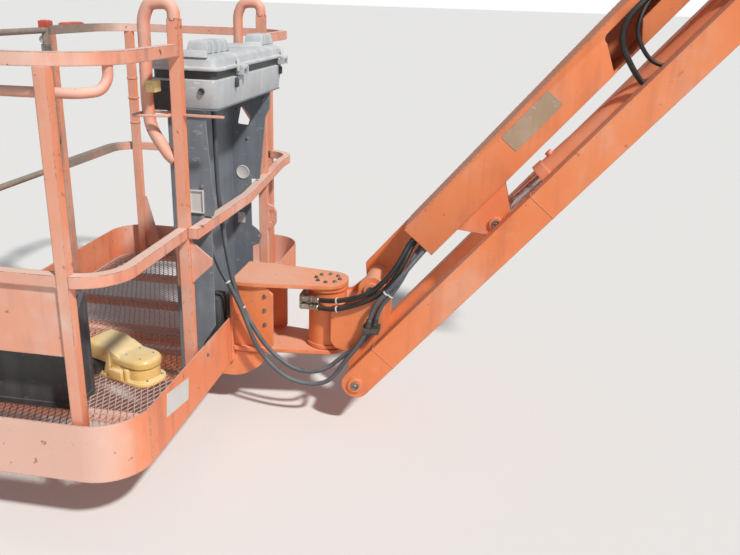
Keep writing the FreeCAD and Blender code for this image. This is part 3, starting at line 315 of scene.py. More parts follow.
def choose(made, test, kind="FACE"):
    """In edit mode, selects the faces or edges whose middle and direction pass a test."""
    bpy.ops.mesh.select_mode(type=kind)
    bpy.ops.mesh.select_all(action="DESELECT")
    mesh = bmesh.from_edit_mesh(made.data)
    for piece in (mesh.faces if kind == "FACE" else mesh.edges):
        if kind == "FACE":
            middle, way = piece.calc_center_median(), piece.normal
        else:
            ends = [vertex.co for vertex in piece.verts]
            middle, way = (ends[0] + ends[1]) / 2, (ends[1] - ends[0]).normalized()
        if test(middle, way):
            piece.select_set(True)
    bmesh.update_edit_mesh(made.data)


def pull(*offset):
    """In edit mode, extrudes the chosen faces by an offset."""
    bpy.ops.mesh.extrude_region_move(TRANSFORM_OT_translate={"value": offset})


def press(made, rim, offset, test):
    """In edit mode, moves the faces that pass a test in or out, and leaves a rim round them."""
    choose(made, test)
    bpy.ops.mesh.inset(thickness=rim)
    pull(*offset)


def soften(made, width, segments=2, angle=30):
    """Back in object mode, rounds the sharp edges with an applied bevel and smooths the shading."""
    if bpy.context.mode == "EDIT_MESH":
        bpy.ops.object.mode_set(mode="OBJECT")
    only(made)
    bevel = made.modifiers.new("rounded", "BEVEL")
    bevel.width = width
    bevel.segments = segments
    bevel.limit_method = "ANGLE"
    bevel.angle_limit = math.radians(angle)
    bpy.ops.object.modifier_apply(modifier="rounded")
    bpy.ops.object.shade_smooth_by_angle(angle=math.radians(40))
    return made


def joined(name, pieces):
    """Several meshes made one piece."""
    bpy.ops.object.select_all(action="DESELECT")
    for made in pieces:
        made.select_set(True)
    bpy.context.view_layer.objects.active = pieces[0]
    if len(pieces) > 1:
        bpy.ops.object.join()
    pieces[0].name = pieces[0].data.name = name
    return pieces[0]


def fitted(made, finish, slot_name, body, *replaced):
    """Gives a finished piece its material, fixes it to its body and hides the pieces it replaces."""
    made.data.materials.clear()
    made.data.materials.append(finish)
    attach(made, body)
    if replaced:
        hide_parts(*replaced)


def copies(model, places):
    """Copies of a model, each with its own mesh, at (point, direction its top faces, size)."""
    made = []
    for point, way, size in places:
        twin = model.copy()
        twin.data = model.data.copy()
        scene.collection.objects.link(twin)
        turn = Vector(way).to_track_quat("Z", "Y").to_matrix().to_4x4()
        twin.data.transform(Matrix.Translation(point) @ turn @ Matrix.Scale(size, 4))
        made.append(twin)
    return made


def pin_face(radius):
    """A turned pin end, standing on the origin: chamfered rim, dished middle and a nipple."""
    face = round_bar("pin_face", 28, radius, 0.004, (0, 0, 0.002))
    press(face, radius * 0.30, (0, 0, -0.001), lambda middle, way: way.z > 0.9)
    bpy.ops.mesh.inset(thickness=radius * 0.42)
    pull(0, 0, 0.003)
    bpy.ops.transform.resize(value=(0.6, 0.6, 1))
    return soften(face, 0.0005, 1)


pin_steel = worn_metal("pin steel, oiled", (0.34, 0.33, 0.32, 1), (0.10, 0.075, 0.06, 1), 0.38, seed=2)
face = pin_face(0.0145)
nose_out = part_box("nose_pins")[1][1]
fitted(joined("nose_pin_faces", copies(face, [
    (Vector((0.140, side * (nose_out - 0.0002), -0.200)), (0, side, 0), 1.0) for side in (1, -1)])),
    pin_steel, "pin_steel", "nose")


# The upper arm is a steel channel closed by a flat cover plate, and hoses come out of a slot torched in it.
# The cylinder's lug is welded under it, and the clamp blocks for the slot's hoses are bolted inside.
jib_drop = math.radians(50)
arm_pin = Vector((0.1045, 0, 0.138))
arm_length, lug_from_knuckle = 1.830, 0.453
arm_frame = Matrix.Translation(arm_pin) @ Matrix.Rotation(jib_drop, 4, "Y")


def on_arm(x, y, z):
    """A point given from the upper arm's nose pin, along the arm, across it and up from it."""
    return arm_pin + Vector((x * math.cos(jib_drop) + z * math.sin(jib_drop), y,
                             z * math.cos(jib_drop) - x * math.sin(jib_drop)))


def block(name, low, high):
    """A cube primitive at its size and place, all deselected in edit mode, ready to be shaped."""
    bpy.ops.object.select_all(action="DESELECT")
    middle, size = (low + high) / 2, high - low
    bpy.ops.mesh.primitive_cube_add(size=1, location=middle, scale=size)
    made = took_shape(name)
    bpy.ops.object.mode_set(mode="EDIT")
    bpy.ops.mesh.select_all(action="DESELECT")
    return made


def round_edges(made, radius, segments, test):
    """In edit mode, rounds the edges that pass a test."""
    choose(made, test, "EDGE")
    bpy.ops.mesh.bevel(offset=radius, segments=segments, affect="EDGES")


def chop(point, way):
    """In edit mode, cuts the whole piece flat along a plane and drops what is beyond it."""
    bpy.ops.mesh.select_all(action="SELECT")
    bpy.ops.mesh.bisect(plane_co=point, plane_no=way, use_fill=True, clear_outer=True)


def cut_out(made, cutter):
    """Takes a cutter's shape out of a piece, and drops the cutter."""
    only(made)
    cut = made.modifiers.new("cut", "BOOLEAN")
    cut.operation = "DIFFERENCE"
    cut.object = cutter
    bpy.ops.object.modifier_apply(modifier="cut")
    bpy.data.objects.remove(cutter)


bracket_steel = worn_metal("bracket steel", (0.16, 0.155, 0.15, 1), (0.06, 0.05, 0.045, 1), 0.5, seed=8)
painted(jib_paint, "upper_arm", "upper_arm_cover", "cylinder_lug", "cylinder_lug_pins")
painted(bracket_steel, "hose_blocks")
arm_cover = block("arm_cover", Vector((0.095, 0.072, -0.064)), Vector((1.598, 0.080, 0.064)))
bpy.ops.object.mode_set(mode="OBJECT")
upper_cut = block("upper_cut", Vector((0.436, 0.060, -0.004)), Vector((0.752, 0.095, 0.038)))
round_edges(upper_cut, 0.018, 6, lambda middle, way: abs(way.y) > 0.9)
bpy.ops.object.mode_set(mode="OBJECT")
lower_cut = block("lower_cut", Vector((0.636, 0.058, -0.090)), Vector((0.806, 0.097, 0.022)))
chop(Vector((0.636, 0, -0.004)), Vector((-0.70, 0, -0.71)))
chop(Vector((0.750, 0, 0.022)), Vector((0.87, 0, 0.49)))
round_edges(lower_cut, 0.010, 5, lambda middle, way: abs(way.y) > 0.9 and middle.z > -0.03)
bpy.ops.object.mode_set(mode="OBJECT")
cut_out(arm_cover, upper_cut)
cut_out(arm_cover, lower_cut)
soften(arm_cover, 0.0012, 2)
arm_cover.data.transform(arm_frame)
fitted(arm_cover, jib_paint, "frame_paint", "upper_arm", "upper_arm_cover")
lug_x = arm_length - lug_from_knuckle
fitted(joined("lug_pin_faces", copies(face, [
    (on_arm(lug_x, side * 0.0538, -0.144), (0, side, 0), 0.9) for side in (1, -1)])),
    pin_steel, "pin_steel", "upper_arm")


# A bare sheet plate, faded to tan, is riveted to the cover where a sign would be.
# It is rolled sheet with a pressed rim and round corners, a little more than a millimetre thick.
def moulded(name, colour, worn, roughness=0.5, seed=0.0, relief=0.0006):
    """Moulded plastic or painted sheet: dusty, scuffed, paler on its edges."""
    material, shader, place = new_finish(name)
    facing = place.node("ShaderNodeTexCoord", {}, output="Normal")
    upward = place.node("ShaderNodeSeparateXYZ", {"Vector": facing}, output="Z")
    flat = place.node("ShaderNodeNewGeometry", {}, output="Normal")
    soft = place.node("ShaderNodeBevel", {"Radius": 0.003}, samples=4)
    turned = place.node("ShaderNodeVectorMath", {0: soft, 1: flat}, output="Value", operation="DOT_PRODUCT")
    edge = ((1 - turned) * 5.0).held()
    cloud = place.noise(9, 4.0, seed=seed)
    grain = place.noise(340, 3.0, seed=seed + 3)
    runs = place.noise(30, 4.0, stretch=(1, 1, 0.10), seed=seed + 5)
    scratch = place.noise(16, 2.0, stretch=(2, 12, 5), seed=seed + 7)
    mask = (cloud * 0.55 + runs * 0.45 + upward * 0.16 + edge * 0.25).step(0.42, 0.86)
    colour_now = mask.blend(colour, worn)
    rub = scratch.step(0.66, 0.70) * 0.45
    colour_now = rub.blend(colour_now, (worn[0] * 1.15, worn[1] * 1.15, worn[2] * 1.15, 1))
    dark = (cloud * 0.5 + grain * 0.6).step(0.70, 0.80) * 0.35
    colour_now = dark.blend(colour_now, (colour[0] * 0.4, colour[1] * 0.38, colour[2] * 0.36, 1))
    feed(shader, Base_Color=colour_now, Roughness=roughness + mask * 0.2,
         Normal=place.node("ShaderNodeBump", {"Strength": 0.5, "Distance": relief, "Height": grain,
                                              "Normal": soft}))
    return material


plate_tan = moulded("sheet plate, tan", (0.42, 0.29, 0.19, 1), (0.56, 0.42, 0.32, 1), 0.5, seed=71)
arm_plate = block("arm_plate", Vector((0.961, 0.0798, -0.018)), Vector((1.160, 0.0812, 0.047)))
round_edges(arm_plate, 0.006, 3, lambda middle, way: abs(way.y) > 0.9)
press(arm_plate, 0.003, (0, -0.0003, 0), lambda middle, way: way.y > 0.9)
soften(arm_plate, 0.0003, 1)
arm_plate.data.transform(arm_frame)
fitted(arm_plate, plate_tan, "holder_metal", "upper_arm")


# Weld beads run where the plates and tubes are joined; each is an uneven ridge laid along the seam.
# On the upper arm they run along both edges of the channel and round the plates of the lug.
def bead(points, radius=0.0028):
    """A weld bead along a line of points, a little uneven."""
    curve = bpy.data.curves.new("bead_line", "CURVE")
    curve.dimensions = "3D"
    run = curve.splines.new("POLY")
    steps = []
    for a, b in zip(points, points[1:]):
        count = max(2, int((b - a).length / 0.006))
        steps += [a.lerp(b, i / count) for i in range(count)]
    steps.append(points[-1])
    run.points.add(len(steps) - 1)
    for i, (spot, point) in enumerate(zip(run.points, steps)):
        spot.co = (*point, 1)
        spot.radius = 1.0 + 0.22 * math.sin(2.1 * i)
    curve.bevel_depth = radius
    curve.bevel_resolution = 1
    curve.use_fill_caps = True
    made = bpy.data.objects.new("bead", curve)
    scene.collection.objects.link(made)
    only(made)
    bpy.ops.object.convert(target="MESH")
    bpy.ops.object.shade_smooth()
    return bpy.context.object


arm_beads = [bead([on_arm(0.10, side, 0.063), on_arm(1.59, side, 0.063)], 0.0022)
             for side in (0.0801, -0.0801)]
arm_beads += [bead([on_arm(lug_x - 0.119, y, -0.064), on_arm(lug_x + 0.104, y, -0.064)])
              for y in (0.046, 0.036, -0.036, -0.046)]
fitted(joined("arm_beads", arm_beads), jib_paint, "frame_paint", "upper_arm")

# The two lower arms are box sections side by side, with pin bosses welded through both their ends.
# Short beads close their end plates and the seams where the sections were spliced.
painted(jib_paint, "lower_arm_left", "lower_arm_right")
low_frame = Matrix.Translation(Vector((0.14, 0, -0.2))) @ Matrix.Rotation(jib_drop, 4, "Y")
low_beads = []
for x in (arm_length - 0.145, arm_length - 0.893, 0.145):
    for y in (0.101, 0.155, -0.101, -0.155):
        seam = [Vector((x, y, z)) for z in (-0.050, 0.050)]
        low_beads.append(bead([low_frame @ point for point in seam], 0.0018))
    for z in (0.050, -0.050):
        for y in (0.101, -0.155):
            seam = [Vector((x, y, z)), Vector((x, y + 0.054, z))]
            low_beads.append(bead([low_frame @ point for point in seam], 0.0018))
fitted(joined("lower_arm_beads", low_beads), jib_paint, "frame_paint", "lower_arms")

# The lifting cylinder is a sprayed steel tube with end caps and ports, and its rod is hard chromed.
# Its eye is bored for the pin in the upper arm's lug.
rod_chrome = worn_metal("rod chrome", (0.62, 0.63, 0.65, 1), (0.42, 0.41, 0.40, 1), 0.12, 1.0, seed=4)
painted(jib_paint, "cylinder_barrel")
painted(rod_chrome, "cylinder_rod")

# The knuckle's two plates carry the pins of both arms, and the rotator's drum is bolted on between them.
# The rotator's port block is plated steel, and a dark bracket below it clamps the two cables.
fitting_steel = worn_metal("plated fittings", (0.50, 0.47, 0.40, 1), (0.16, 0.12, 0.09, 1), 0.32, seed=5)
painted(jib_paint, "knuckle", "knuckle_pins", "rotator_housing")
painted(fitting_steel, "port_block")
painted(bracket_steel, "hose_clamp")
lower_pin = on_platform(-0.467, 0, -0.020)
lower_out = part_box("knuckle_pins")[1][1]
knuckle_ends = [(Vector((lower_pin.x, side * (lower_out - 0.0002), lower_pin.z)), (0, side, 0), 1.0)
                for side in (1, -1)]
knuckle_ends += [(on_platform(-0.5025, side * 0.1048, 0.318), (0, side, 0), 1.0) for side in (1, -1)]
fitted(joined("knuckle_pin_faces", copies(face, knuckle_ends)), pin_steel, "pin_steel", "knuckle")
bpy.data.objects.remove(face)


# The platform's mount is folded and welded plate: ears above and below the rotator, and sides with a curved
# foot. Rings of small hex bolts with washers hold it; one bolt is modelled and copied.
def hex_bolt():
    """A bolt head on its washer, standing on the origin, 1 cm across the washer's radius."""
    head = round_bar("bolt_head", 6, 0.0078, 0.006, (0, 0, 0.0045))
    choose(head, lambda middle, way: way.z > 0.9)
    bpy.ops.mesh.inset(thickness=0.0012)
    bpy.ops.transform.translate(value=(0, 0, 0.0006))
    soften(head, 0.0004, 1)
    washer = soften(round_bar("washer", 20, 0.010, 0.002, (0, 0, 0.001)), 0.0005, 1)
    return joined("bolt_model", [head, washer])


painted(jib_paint, "platform_mount", "support_beams")
bolt = hex_bolt()
ring_turns = [math.pi * i / 4 for i in range(8)]
mount_bolts = [(on_platform(-0.330 + 0.043 * math.cos(a), 0.043 * math.sin(a), z), (0, 0, way), 0.8)
               for z, way in ((0.311, 1), (0.049, -1)) for a in ring_turns]
mount_bolts += [(on_platform(-0.124, side * 0.101, z), (0, side, 0), 0.75)
                for z in (0.260, 0.207, 0.152) for side in (1, -1)]
fitted(joined("mount_bolts", copies(bolt, mount_bolts)), pin_steel, "pin_steel", "platform")
mount_beads = []
for side in (1, -1):
    y = side * 0.101
    for z in (0.035, 0.297):
        mount_beads.append(bead([on_platform(-0.120, y, z), on_platform(-0.010, y, z)]))
    mount_beads.append(bead([on_platform(-0.008, y, 0.050), on_platform(-0.008, y, 0.296)]))
fitted(joined("mount_beads", mount_beads), jib_paint, "frame_paint", "platform")

# The floor is expanded steel mesh on a welded frame: small open diamonds, drawn from one sheet.
# Its paint is trodden pale and chalky.
platform_paint = sprayed_steel("platform paint, chalky", (0.81, 0.245, 0.105, 1), (0.84, 0.420, 0.290, 1),
                               chip_share=0.6, dirt=0.45, dust=0.6, bleach=0.95, scuffs=0.55, seed=21,
                               gloss=0.5, bare_past=base_x + 0.86, bleached_end=0.35)
floor_paint = sprayed_steel("mesh paint, trodden", (0.76, 0.38, 0.29, 1), (0.86, 0.62, 0.54, 1),
                            chip_share=0.5, dirt=0.4, dust=0.3, bleach=0.8, seed=51, gloss=0.55)
painted(platform_paint, "floor_frame")
painted(floor_paint, "floor_mesh")
mesh_low, mesh_high = (Vector(corner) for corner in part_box("floor_mesh"))
mesh_middle = (mesh_low + mesh_high) / 2
half_x, half_y = (mesh_high.x - mesh_low.x) / 2 - 0.003, (mesh_high.y - mesh_low.y) / 2 - 0.003
corner_radius = 0.132
bpy.ops.object.select_all(action="DESELECT")
bpy.ops.mesh.primitive_grid_add(x_subdivisions=42, y_subdivisions=38, size=2, location=mesh_middle)
floor_sheet = took_shape("floor_sheet")
bpy.ops.object.mode_set(mode="EDIT")
bpy.ops.mesh.select_all(action="SELECT")
bpy.ops.transform.resize(value=(half_x, half_y, 1), center_override=mesh_middle)
bpy.ops.mesh.poke()
choose(floor_sheet, lambda middle, way: abs(way.x * way.y) < 1e-4, "EDGE")
bpy.ops.mesh.dissolve_edges(use_verts=False)


def past_corner(point):
    """How far a point lies outside the sheet's rounded corner, and the corner's centre."""
    away = point - mesh_middle
    centre = Vector((math.copysign(half_x - corner_radius, away.x),
                     math.copysign(half_y - corner_radius, away.y), 0))
    off = Vector((away.x, away.y, 0)) - centre
    if off.x * away.x <= 0 or off.y * away.y <= 0:
        return 0, mesh_middle + centre
    return off.length - corner_radius, mesh_middle + centre


net = bmesh.from_edit_mesh(floor_sheet.data)
bmesh.ops.delete(net, geom=[face for face in net.faces if all(past_corner(v.co)[0] > 0 for v in face.verts)],
                 context="FACES")
for spot in net.verts:
    past, centre = past_corner(spot.co)
    if past > 0:
        spot.co = centre + (spot.co - centre).normalized() * corner_radius
        spot.co.z = mesh_middle.z
bmesh.update_edit_mesh(floor_sheet.data)
bpy.ops.object.mode_set(mode="OBJECT")
strands = floor_sheet.modifiers.new("strands", "WIREFRAME")
strands.thickness = 0.0062
strands.use_even_offset = False
strands.use_boundary = True
bpy.ops.object.modifier_apply(modifier="strands")
bpy.ops.object.mode_set(mode="EDIT")
bpy.ops.mesh.select_all(action="SELECT")
bpy.ops.transform.resize(value=(1, 1, 0.5), center_override=mesh_middle)
bpy.ops.object.mode_set(mode="OBJECT")
fitted(floor_sheet, floor_paint, "floor_mesh", "platform", "floor_mesh")

# A flat steel rim with round corners is welded round the mesh, and closes its cut ends.
# It is bent from one bar.
rim_line = bpy.data.curves.new("rim_line", "CURVE")
rim_line.dimensions = "3D"
rim_run = rim_line.splines.new("POLY")
rim_points = []
for corner_x, corner_y, first in ((1, 1, 0), (-1, 1, 90), (-1, -1, 180), (1, -1, 270)):
    for step_on in range(9):
        angle = math.radians(first + 90 * step_on / 8)
        rim_points.append(mesh_middle + Vector((
            corner_x * (half_x - corner_radius) + (corner_radius - 0.006) * math.cos(angle),
            corner_y * (half_y - corner_radius) + (corner_radius - 0.006) * math.sin(angle), 0)))
rim_run.points.add(len(rim_points) - 1)
for spot, point in zip(rim_run.points, rim_points):
    spot.co = (*point, 1)
rim_run.use_cyclic_u = True
rim_line.bevel_depth = 0.005
rim_line.bevel_resolution = 1
rim = bpy.data.objects.new("mesh_rim", rim_line)
scene.collection.objects.link(rim)
only(rim)
bpy.ops.object.convert(target="MESH")
rim = bpy.context.object
bpy.ops.object.mode_set(mode="EDIT")
bpy.ops.mesh.select_all(action="SELECT")
bpy.ops.transform.resize(value=(1, 1, 0.35), center_override=mesh_middle)
bpy.ops.object.mode_set(mode="OBJECT")
fitted(rim, floor_paint, "floor_mesh", "platform")

# The toe board is one band of sheet steel, bent round the corners and welded in two seams at the back.
# Its left end has gone nearly white in the sun, and a bare white plate is riveted beside the corner.
board_paint = sprayed_steel("toe board paint, bleached", (0.81, 0.245, 0.105, 1), (0.84, 0.420, 0.290, 1),
                            chip_share=0.6, dirt=0.35, dust=0.6, bleach=0.6, scuffs=0.5, seed=21, gloss=0.5,
                            bleached_end=0.85)
holder_white = moulded("holder, white", (0.62, 0.62, 0.60, 1), (0.72, 0.72, 0.70, 1), 0.45, seed=43)
painted(board_paint, "toe_board")
seams = [bead([on_platform(-0.0003, side * 0.786, 0.003), on_platform(-0.0003, side * 0.786, 0.172)], 0.0016)
         for side in (1, -1)]
fitted(joined("toe_seams", seams), board_paint, "platform_paint", "platform")
board_turn = Matrix.Translation(on_platform(0, 0.594, 0.109)) @ Matrix.Rotation(math.radians(9), 4, "X")
board_plate = block("board_plate", Vector((-0.0014, -0.081, -0.036)), Vector((0.0002, 0.081, 0.036)))
round_edges(board_plate, 0.005, 3, lambda middle, way: abs(way.x) > 0.9)
press(board_plate, 0.003, (0.0003, 0, 0), lambda middle, way: way.x < -0.9)
soften(board_plate, 0.0003, 1)
board_plate.data.transform(board_turn)
fitted(board_plate, holder_white, "holder_metal", "platform")

# Eight posts of square tube stand in the toe board on welded feet, with gussets beside the rear ones.
# Slip joints show on the front end posts, where the legs of the rail frame plug into their sockets.
painted(platform_paint, "posts", "post_gussets", "post_feet", "lanyard_anchor")
collars = []
for side in (1, -1):
    for z, width in ((0.686, 0.0185), (0.798, 0.0195), (0.886, 0.0185)):
        collar = block("post_collar", on_platform(0.784 - width, side * 0.853 - width, z - 0.004),
                       on_platform(0.784 + width, side * 0.853 + width, z + 0.004))
        choose(collar, lambda middle, way: abs(way.z) > 0.9)
        bpy.ops.mesh.inset(thickness=0.0015)
        collars.append(soften(collar, 0.001, 2))
fitted(joined("post_collars", collars), platform_paint, "platform_paint", "platform")

# The rails are square tube, bent round the corners and welded to the posts, with a round hand rail inside.
# Sun and hands have bleached their paint, and past the gate they are rubbed down to grey steel.
rail_paint = sprayed_steel("rail paint, bleached", (0.77, 0.290, 0.175, 1), (0.80, 0.500, 0.400, 1),
                           chip_share=0.9, dirt=0.5, dust=1.0, bleach=1.0, scuffs=0.7, seed=23,
                           gloss=0.5, bare_past=base_x + 0.82, bleached_end=0.40)
painted(rail_paint, "top_rail", "mid_rail", "hand_rail")

# The gate is a light tube frame on two hinge collars, held by a pair of pull knobs on its post.
# Two red clamps of sheet steel are left on the post and on the rail beside it.
painted(rail_paint, "entry_gate")
painted(pin_steel, "gate_hinges")
fitting_red = moulded("fitting paint, red", (0.52, 0.060, 0.035, 1), (0.62, 0.20, 0.15, 1), 0.4, seed=91)
clamp_pieces = []
for low, high in (((0.876, -0.394, 1.104), (0.916, -0.354, 1.140)),
                  ((0.880, -0.640, 1.108), (0.916, -0.500, 1.128))):
    clamp = block("rail_clamp", on_platform(*low), on_platform(*high))
    press(clamp, 0.006, (0, 0, 0.003), lambda middle, way: way.z > 0.9)
    clamp_pieces.append(soften(clamp, 0.002, 2))
fitted(joined("rail_clamps", clamp_pieces), fitting_red, "switch_paint", "platform")


def pull_knob():
    """A round knob on a short stem, standing on the origin."""
    head = round_bar("knob_head", 24, 0.014, 0.010, (0, 0, 0.019))
    choose(head, lambda middle, way: way.z > 0.9)
    bpy.ops.mesh.inset(thickness=0.004)
    bpy.ops.transform.translate(value=(0, 0, 0.003))
    press(head, 0.008, (0, 0, -0.014), lambda middle, way: way.z < -0.9)
    return soften(head, 0.0015, 2)


knob = pull_knob()
fitted(joined("gate_knobs", copies(knob, [(on_platform(0.894, -0.356, 1.072), (-0.2, 1, 0), 1.0),
                                          (on_platform(0.894, -0.388, 1.072), (-0.2, -1, 0), 1.0)])),
       holder_white, "holder_metal", "platform")
bpy.data.objects.remove(knob)

# Two hoops of round tube guard the console, from each rear post's top down to the post again.
# A flat steel loop is welded round the left one, with a short bar behind the post, and a yellow clip on it.
painted(rail_paint, "console_hoops", "hoop_braces")
loop_shelf = block("loop_shelf", on_platform(0.045, 0.346, 0.9215), on_platform(0.152, 0.474, 0.9285))
choose(loop_shelf, lambda middle, way: way.x < -0.9)
bpy.ops.transform.resize(value=(1, 0.50, 1))
round_edges(loop_shelf, 0.026, 6, lambda middle, way: abs(way.z) > 0.9 and middle.x > base_x + 0.14)
choose(loop_shelf, lambda middle, way: abs(way.z) > 0.9)
bpy.ops.mesh.inset(thickness=0.013)
bpy.ops.mesh.bridge_edge_loops()
soften(loop_shelf, 0.0015, 2)
loop_bar = block("loop_bar", on_platform(-0.108, 0.400, 0.9215), on_platform(0.015, 0.414, 0.9285))
round_edges(loop_bar, 0.006, 5, lambda middle, way: abs(way.z) > 0.9 and middle.x < base_x - 0.09)
soften(loop_bar, 0.0015, 2)
fitted(joined("hoop_loop", [loop_shelf, loop_bar]), rail_paint, "platform_paint", "platform", "hoop_braces")
clip_yellow = moulded("clip, yellow", (0.80, 0.62, 0.26, 1), (0.84, 0.72, 0.44, 1), 0.45, seed=93)
clip = block("hoop_clip", on_platform(0.078, 0.410, 0.990), on_platform(0.108, 0.447, 1.022))
press(clip, 0.008, (0, 0.004, 0), lambda middle, way: way.y > 0.9)
fitted(soften(clip, 0.004, 3), clip_yellow, "switch_paint", "platform")

# The end panel is a sheet between the posts of the left end, and the manual box hangs behind it.
# The box is a moulded case with a sloping lid, on two folded hangers.
dark_plastic = moulded("dark plastic", (0.050, 0.053, 0.057, 1), (0.120, 0.125, 0.130, 1), 0.48, seed=41)
painted(platform_paint, "end_panel")
painted(dark_plastic, "manual_box")
manual = block("manual_case", on_platform(0.212, 0.688, 0.150), on_platform(0.597, 0.800, 0.468))
chop(on_platform(0, 0.800, 0.352), Vector((0, 0.764, 0.645)))
chop(on_platform(0, 0.702, 0.468), Vector((0, -0.894, 0.447)))
press(manual, 0.016, (0, -0.003, 0), lambda middle, way: way.y > 0.9)
press(manual, 0.012, (0, 0.0015, 0.002), lambda middle, way: way.y > 0.5 and way.z > 0.5)
press(manual, 0.014, (0.0025, 0, 0), lambda middle, way: way.x < -0.9)
manual_pieces = [soften(manual, 0.006, 3, 25)]
for hanger_x in (0.250, 0.500):
    hanger = block("hanger", on_platform(hanger_x, 0.774, 0.366), on_platform(hanger_x + 0.040, 0.884, 0.384))
    press(hanger, 0.006, (0, 0, -0.006), lambda middle, way: way.z > 0.9)
    manual_pieces.append(soften(hanger, 0.002, 2))
fitted(joined("manual_case", manual_pieces), dark_plastic, "box_plastic", "platform", "manual_box")

# The pedestal is a folded sheet channel, painted slate and open to the boom, with bolted plates.
# It carries a white document holder, a pale cap plate, a bare patch and the cables' junction box.
pedestal_paint = moulded("pedestal paint, slate", (0.165, 0.190, 0.220, 1), (0.31, 0.345, 0.38, 1), 0.42,
                         seed=37)
painted(pedestal_paint, "console_pedestal")
painted(holder_white, "document_holder")
along_y = (math.radians(90), 0, 0)
disc = round_bar("pedestal_disc", 40, 0.026, 0.003, on_platform(0.065, -0.2545, 0.620), along_y)
press(disc, 0.004, (0, -0.001, 0), lambda middle, way: way.y > 0.9)
soften(disc, 0.0006, 2)
patch = block("pedestal_patch", on_platform(0.060, -0.2562, 0.418), on_platform(0.090, -0.2552, 0.460))
round_edges(patch, 0.003, 3, lambda middle, way: abs(way.y) > 0.9)
soften(patch, 0.0003, 1)
fitted(joined("pedestal_plates", [disc, patch]), holder_white, "holder_metal", "platform")
junction = block("junction_box", on_platform(0.030, 0.070, 0.034), on_platform(0.108, 0.150, 0.255))
press(junction, 0.008, (-0.004, 0, 0), lambda middle, way: way.x < -0.9)
soften(junction, 0.003, 2)
fitted(junction, dark_plastic, "box_plastic", "platform")
sheet_bolts = [(on_platform(0, side * 0.343, 0.132), (-1, 0, 0), 0.7) for side in (1, -1)]
sheet_bolts += [(on_platform(x, -0.256, z), (0, 1, 0), 0.6)
                for x, z in ((-0.020, 0.899), (0.080, 0.857), (0.045, 0.750))]
sheet_bolts += [(on_platform(x, 0.300, z), (0, 1, 0), 0.6)
                for x, z in ((0.012, 0.690), (0.090, 0.560), (0.090, 0.880))]
sheet_bolts += [(on_platform(0.112, y, z), (1, 0, 0), 0.6) for z in (0.880, 0.120) for y in (0.200, -0.200)]
fitted(joined("sheet_bolts", copies(bolt, sheet_bolts)), fitting_steel, "fitting_steel", "platform")

# The console is a moulded grey box on the pedestal, with a stepped neck, and the levers stand inside.
# Sun and rain have bleached its outer faces in streaks.
console_plastic = moulded("console plastic, weathered", (0.44, 0.465, 0.49, 1), (0.68, 0.70, 0.71, 1), 0.5,
                          seed=31)
painted(console_plastic, "console_box", "console_lid", "lid_hinge_brackets")
painted(dark_plastic, "control_levers")
console_low, console_neck, console_rim = 0.932, 1.018, 1.0437
console_rear, console_fore, console_near, console_far = -0.062, 0.153, 0.330, -0.375
console = block("console_tray", on_platform(console_rear, console_far, console_low),
                on_platform(console_fore, console_near, console_neck))
round_edges(console, 0.026, 5, lambda middle, way: abs(way.z) > 0.9)
press(console, 0.011, (0, 0, console_rim - console_neck), lambda middle, way: way.z > 0.9)
bpy.ops.mesh.inset(thickness=0.007)
pull(0, 0, -0.050)
choose(console, lambda middle, way: way.z < -0.9 and middle.z < base_z + console_low + 0.01)
bpy.ops.transform.resize(value=(0.93, 0.965, 1))
soften(console, 0.004, 2, 32)
fitted(console, console_plastic, "console_plastic", "platform", "console_box")

# A dark plastic strip round the step between the box and its cover is painted shade, the shadow in the gap
# under the cover's edge.
# It is a thin extruded strip, joined at the back.
# Painted shade: a dark strip standing for the shadow in the gap under the cover.
gap_shade = block("console_gap_shade", on_platform(console_rear + 0.009, console_far + 0.009, console_neck + 0.0005),
             on_platform(console_fore - 0.009, console_near - 0.009, console_rim - 0.001))
round_edges(gap_shade, 0.019, 5, lambda middle, way: abs(way.z) > 0.9)
choose(gap_shade, lambda middle, way: abs(way.z) > 0.9)
bpy.ops.mesh.delete(type="ONLY_FACE")
bpy.ops.object.mode_set(mode="OBJECT")
wall = gap_shade.modifiers.new("wall", "SOLIDIFY")
wall.thickness = 0.002
wall.offset = -1
bpy.ops.object.modifier_apply(modifier="wall")
soften(gap_shade, 0.0005, 1)
fitted(gap_shade, dark_plastic, "lever_plastic", "platform")

# A rubber grommet closes a round hole in the box's left end, where a lead can pass.
# Beside it a dark plastic sheet on the same end is painted shade: it darkens the part of that end that lies
# in shadow.
grommet = round_bar("console_grommet", 24, 0.010, 0.006, on_platform(-0.011, console_near - 0.001, 0.985),
                    along_y)
press(grommet, 0.003, (0, -0.003, 0), lambda middle, way: way.y > 0.9)
soften(grommet, 0.0008, 2)
fitted(grommet, dark_plastic, "lever_plastic", "platform")

# Painted shade: a dark sheet over the shadowed part of the box's left end.
panel = block("console_painted_shade_panel", on_platform(0.060, console_near - 0.004, 0.925),
              on_platform(console_fore - 0.012, console_near + 0.0015, 1.012))
press(panel, 0.006, (0, -0.0012, 0), lambda middle, way: way.y > 0.9)
soften(panel, 0.0008, 2)
fitted(panel, dark_plastic, "lever_plastic", "platform")

# The cover is one moulding: a rolled edge, sloping sides, a crowned top and two sets of four ribs.
# It is hinged on the boom's side, by moulded leaves with sleeves for the hinge pins.
cover = block("console_cover", on_platform(console_rear - 0.008, console_far - 0.008, 1.044),
              on_platform(console_fore + 0.008, console_near + 0.008, 1.054))
round_edges(cover, 0.034, 6, lambda middle, way: abs(way.z) > 0.9)
press(cover, 0.007, (0, 0, 0.022), lambda middle, way: way.z > 0.9)
bpy.ops.transform.resize(value=(0.97, 0.985, 1))
pull(0, 0, 0.009)
bpy.ops.transform.resize(value=(0.93, 0.97, 1))
bpy.ops.mesh.inset(thickness=0.022)
bpy.ops.transform.translate(value=(0, 0, 0.004))
press(cover, 0.013, (0, 0, 0.028), lambda middle, way: way.z < -0.9)
soften(cover, 0.0035, 3, 28)

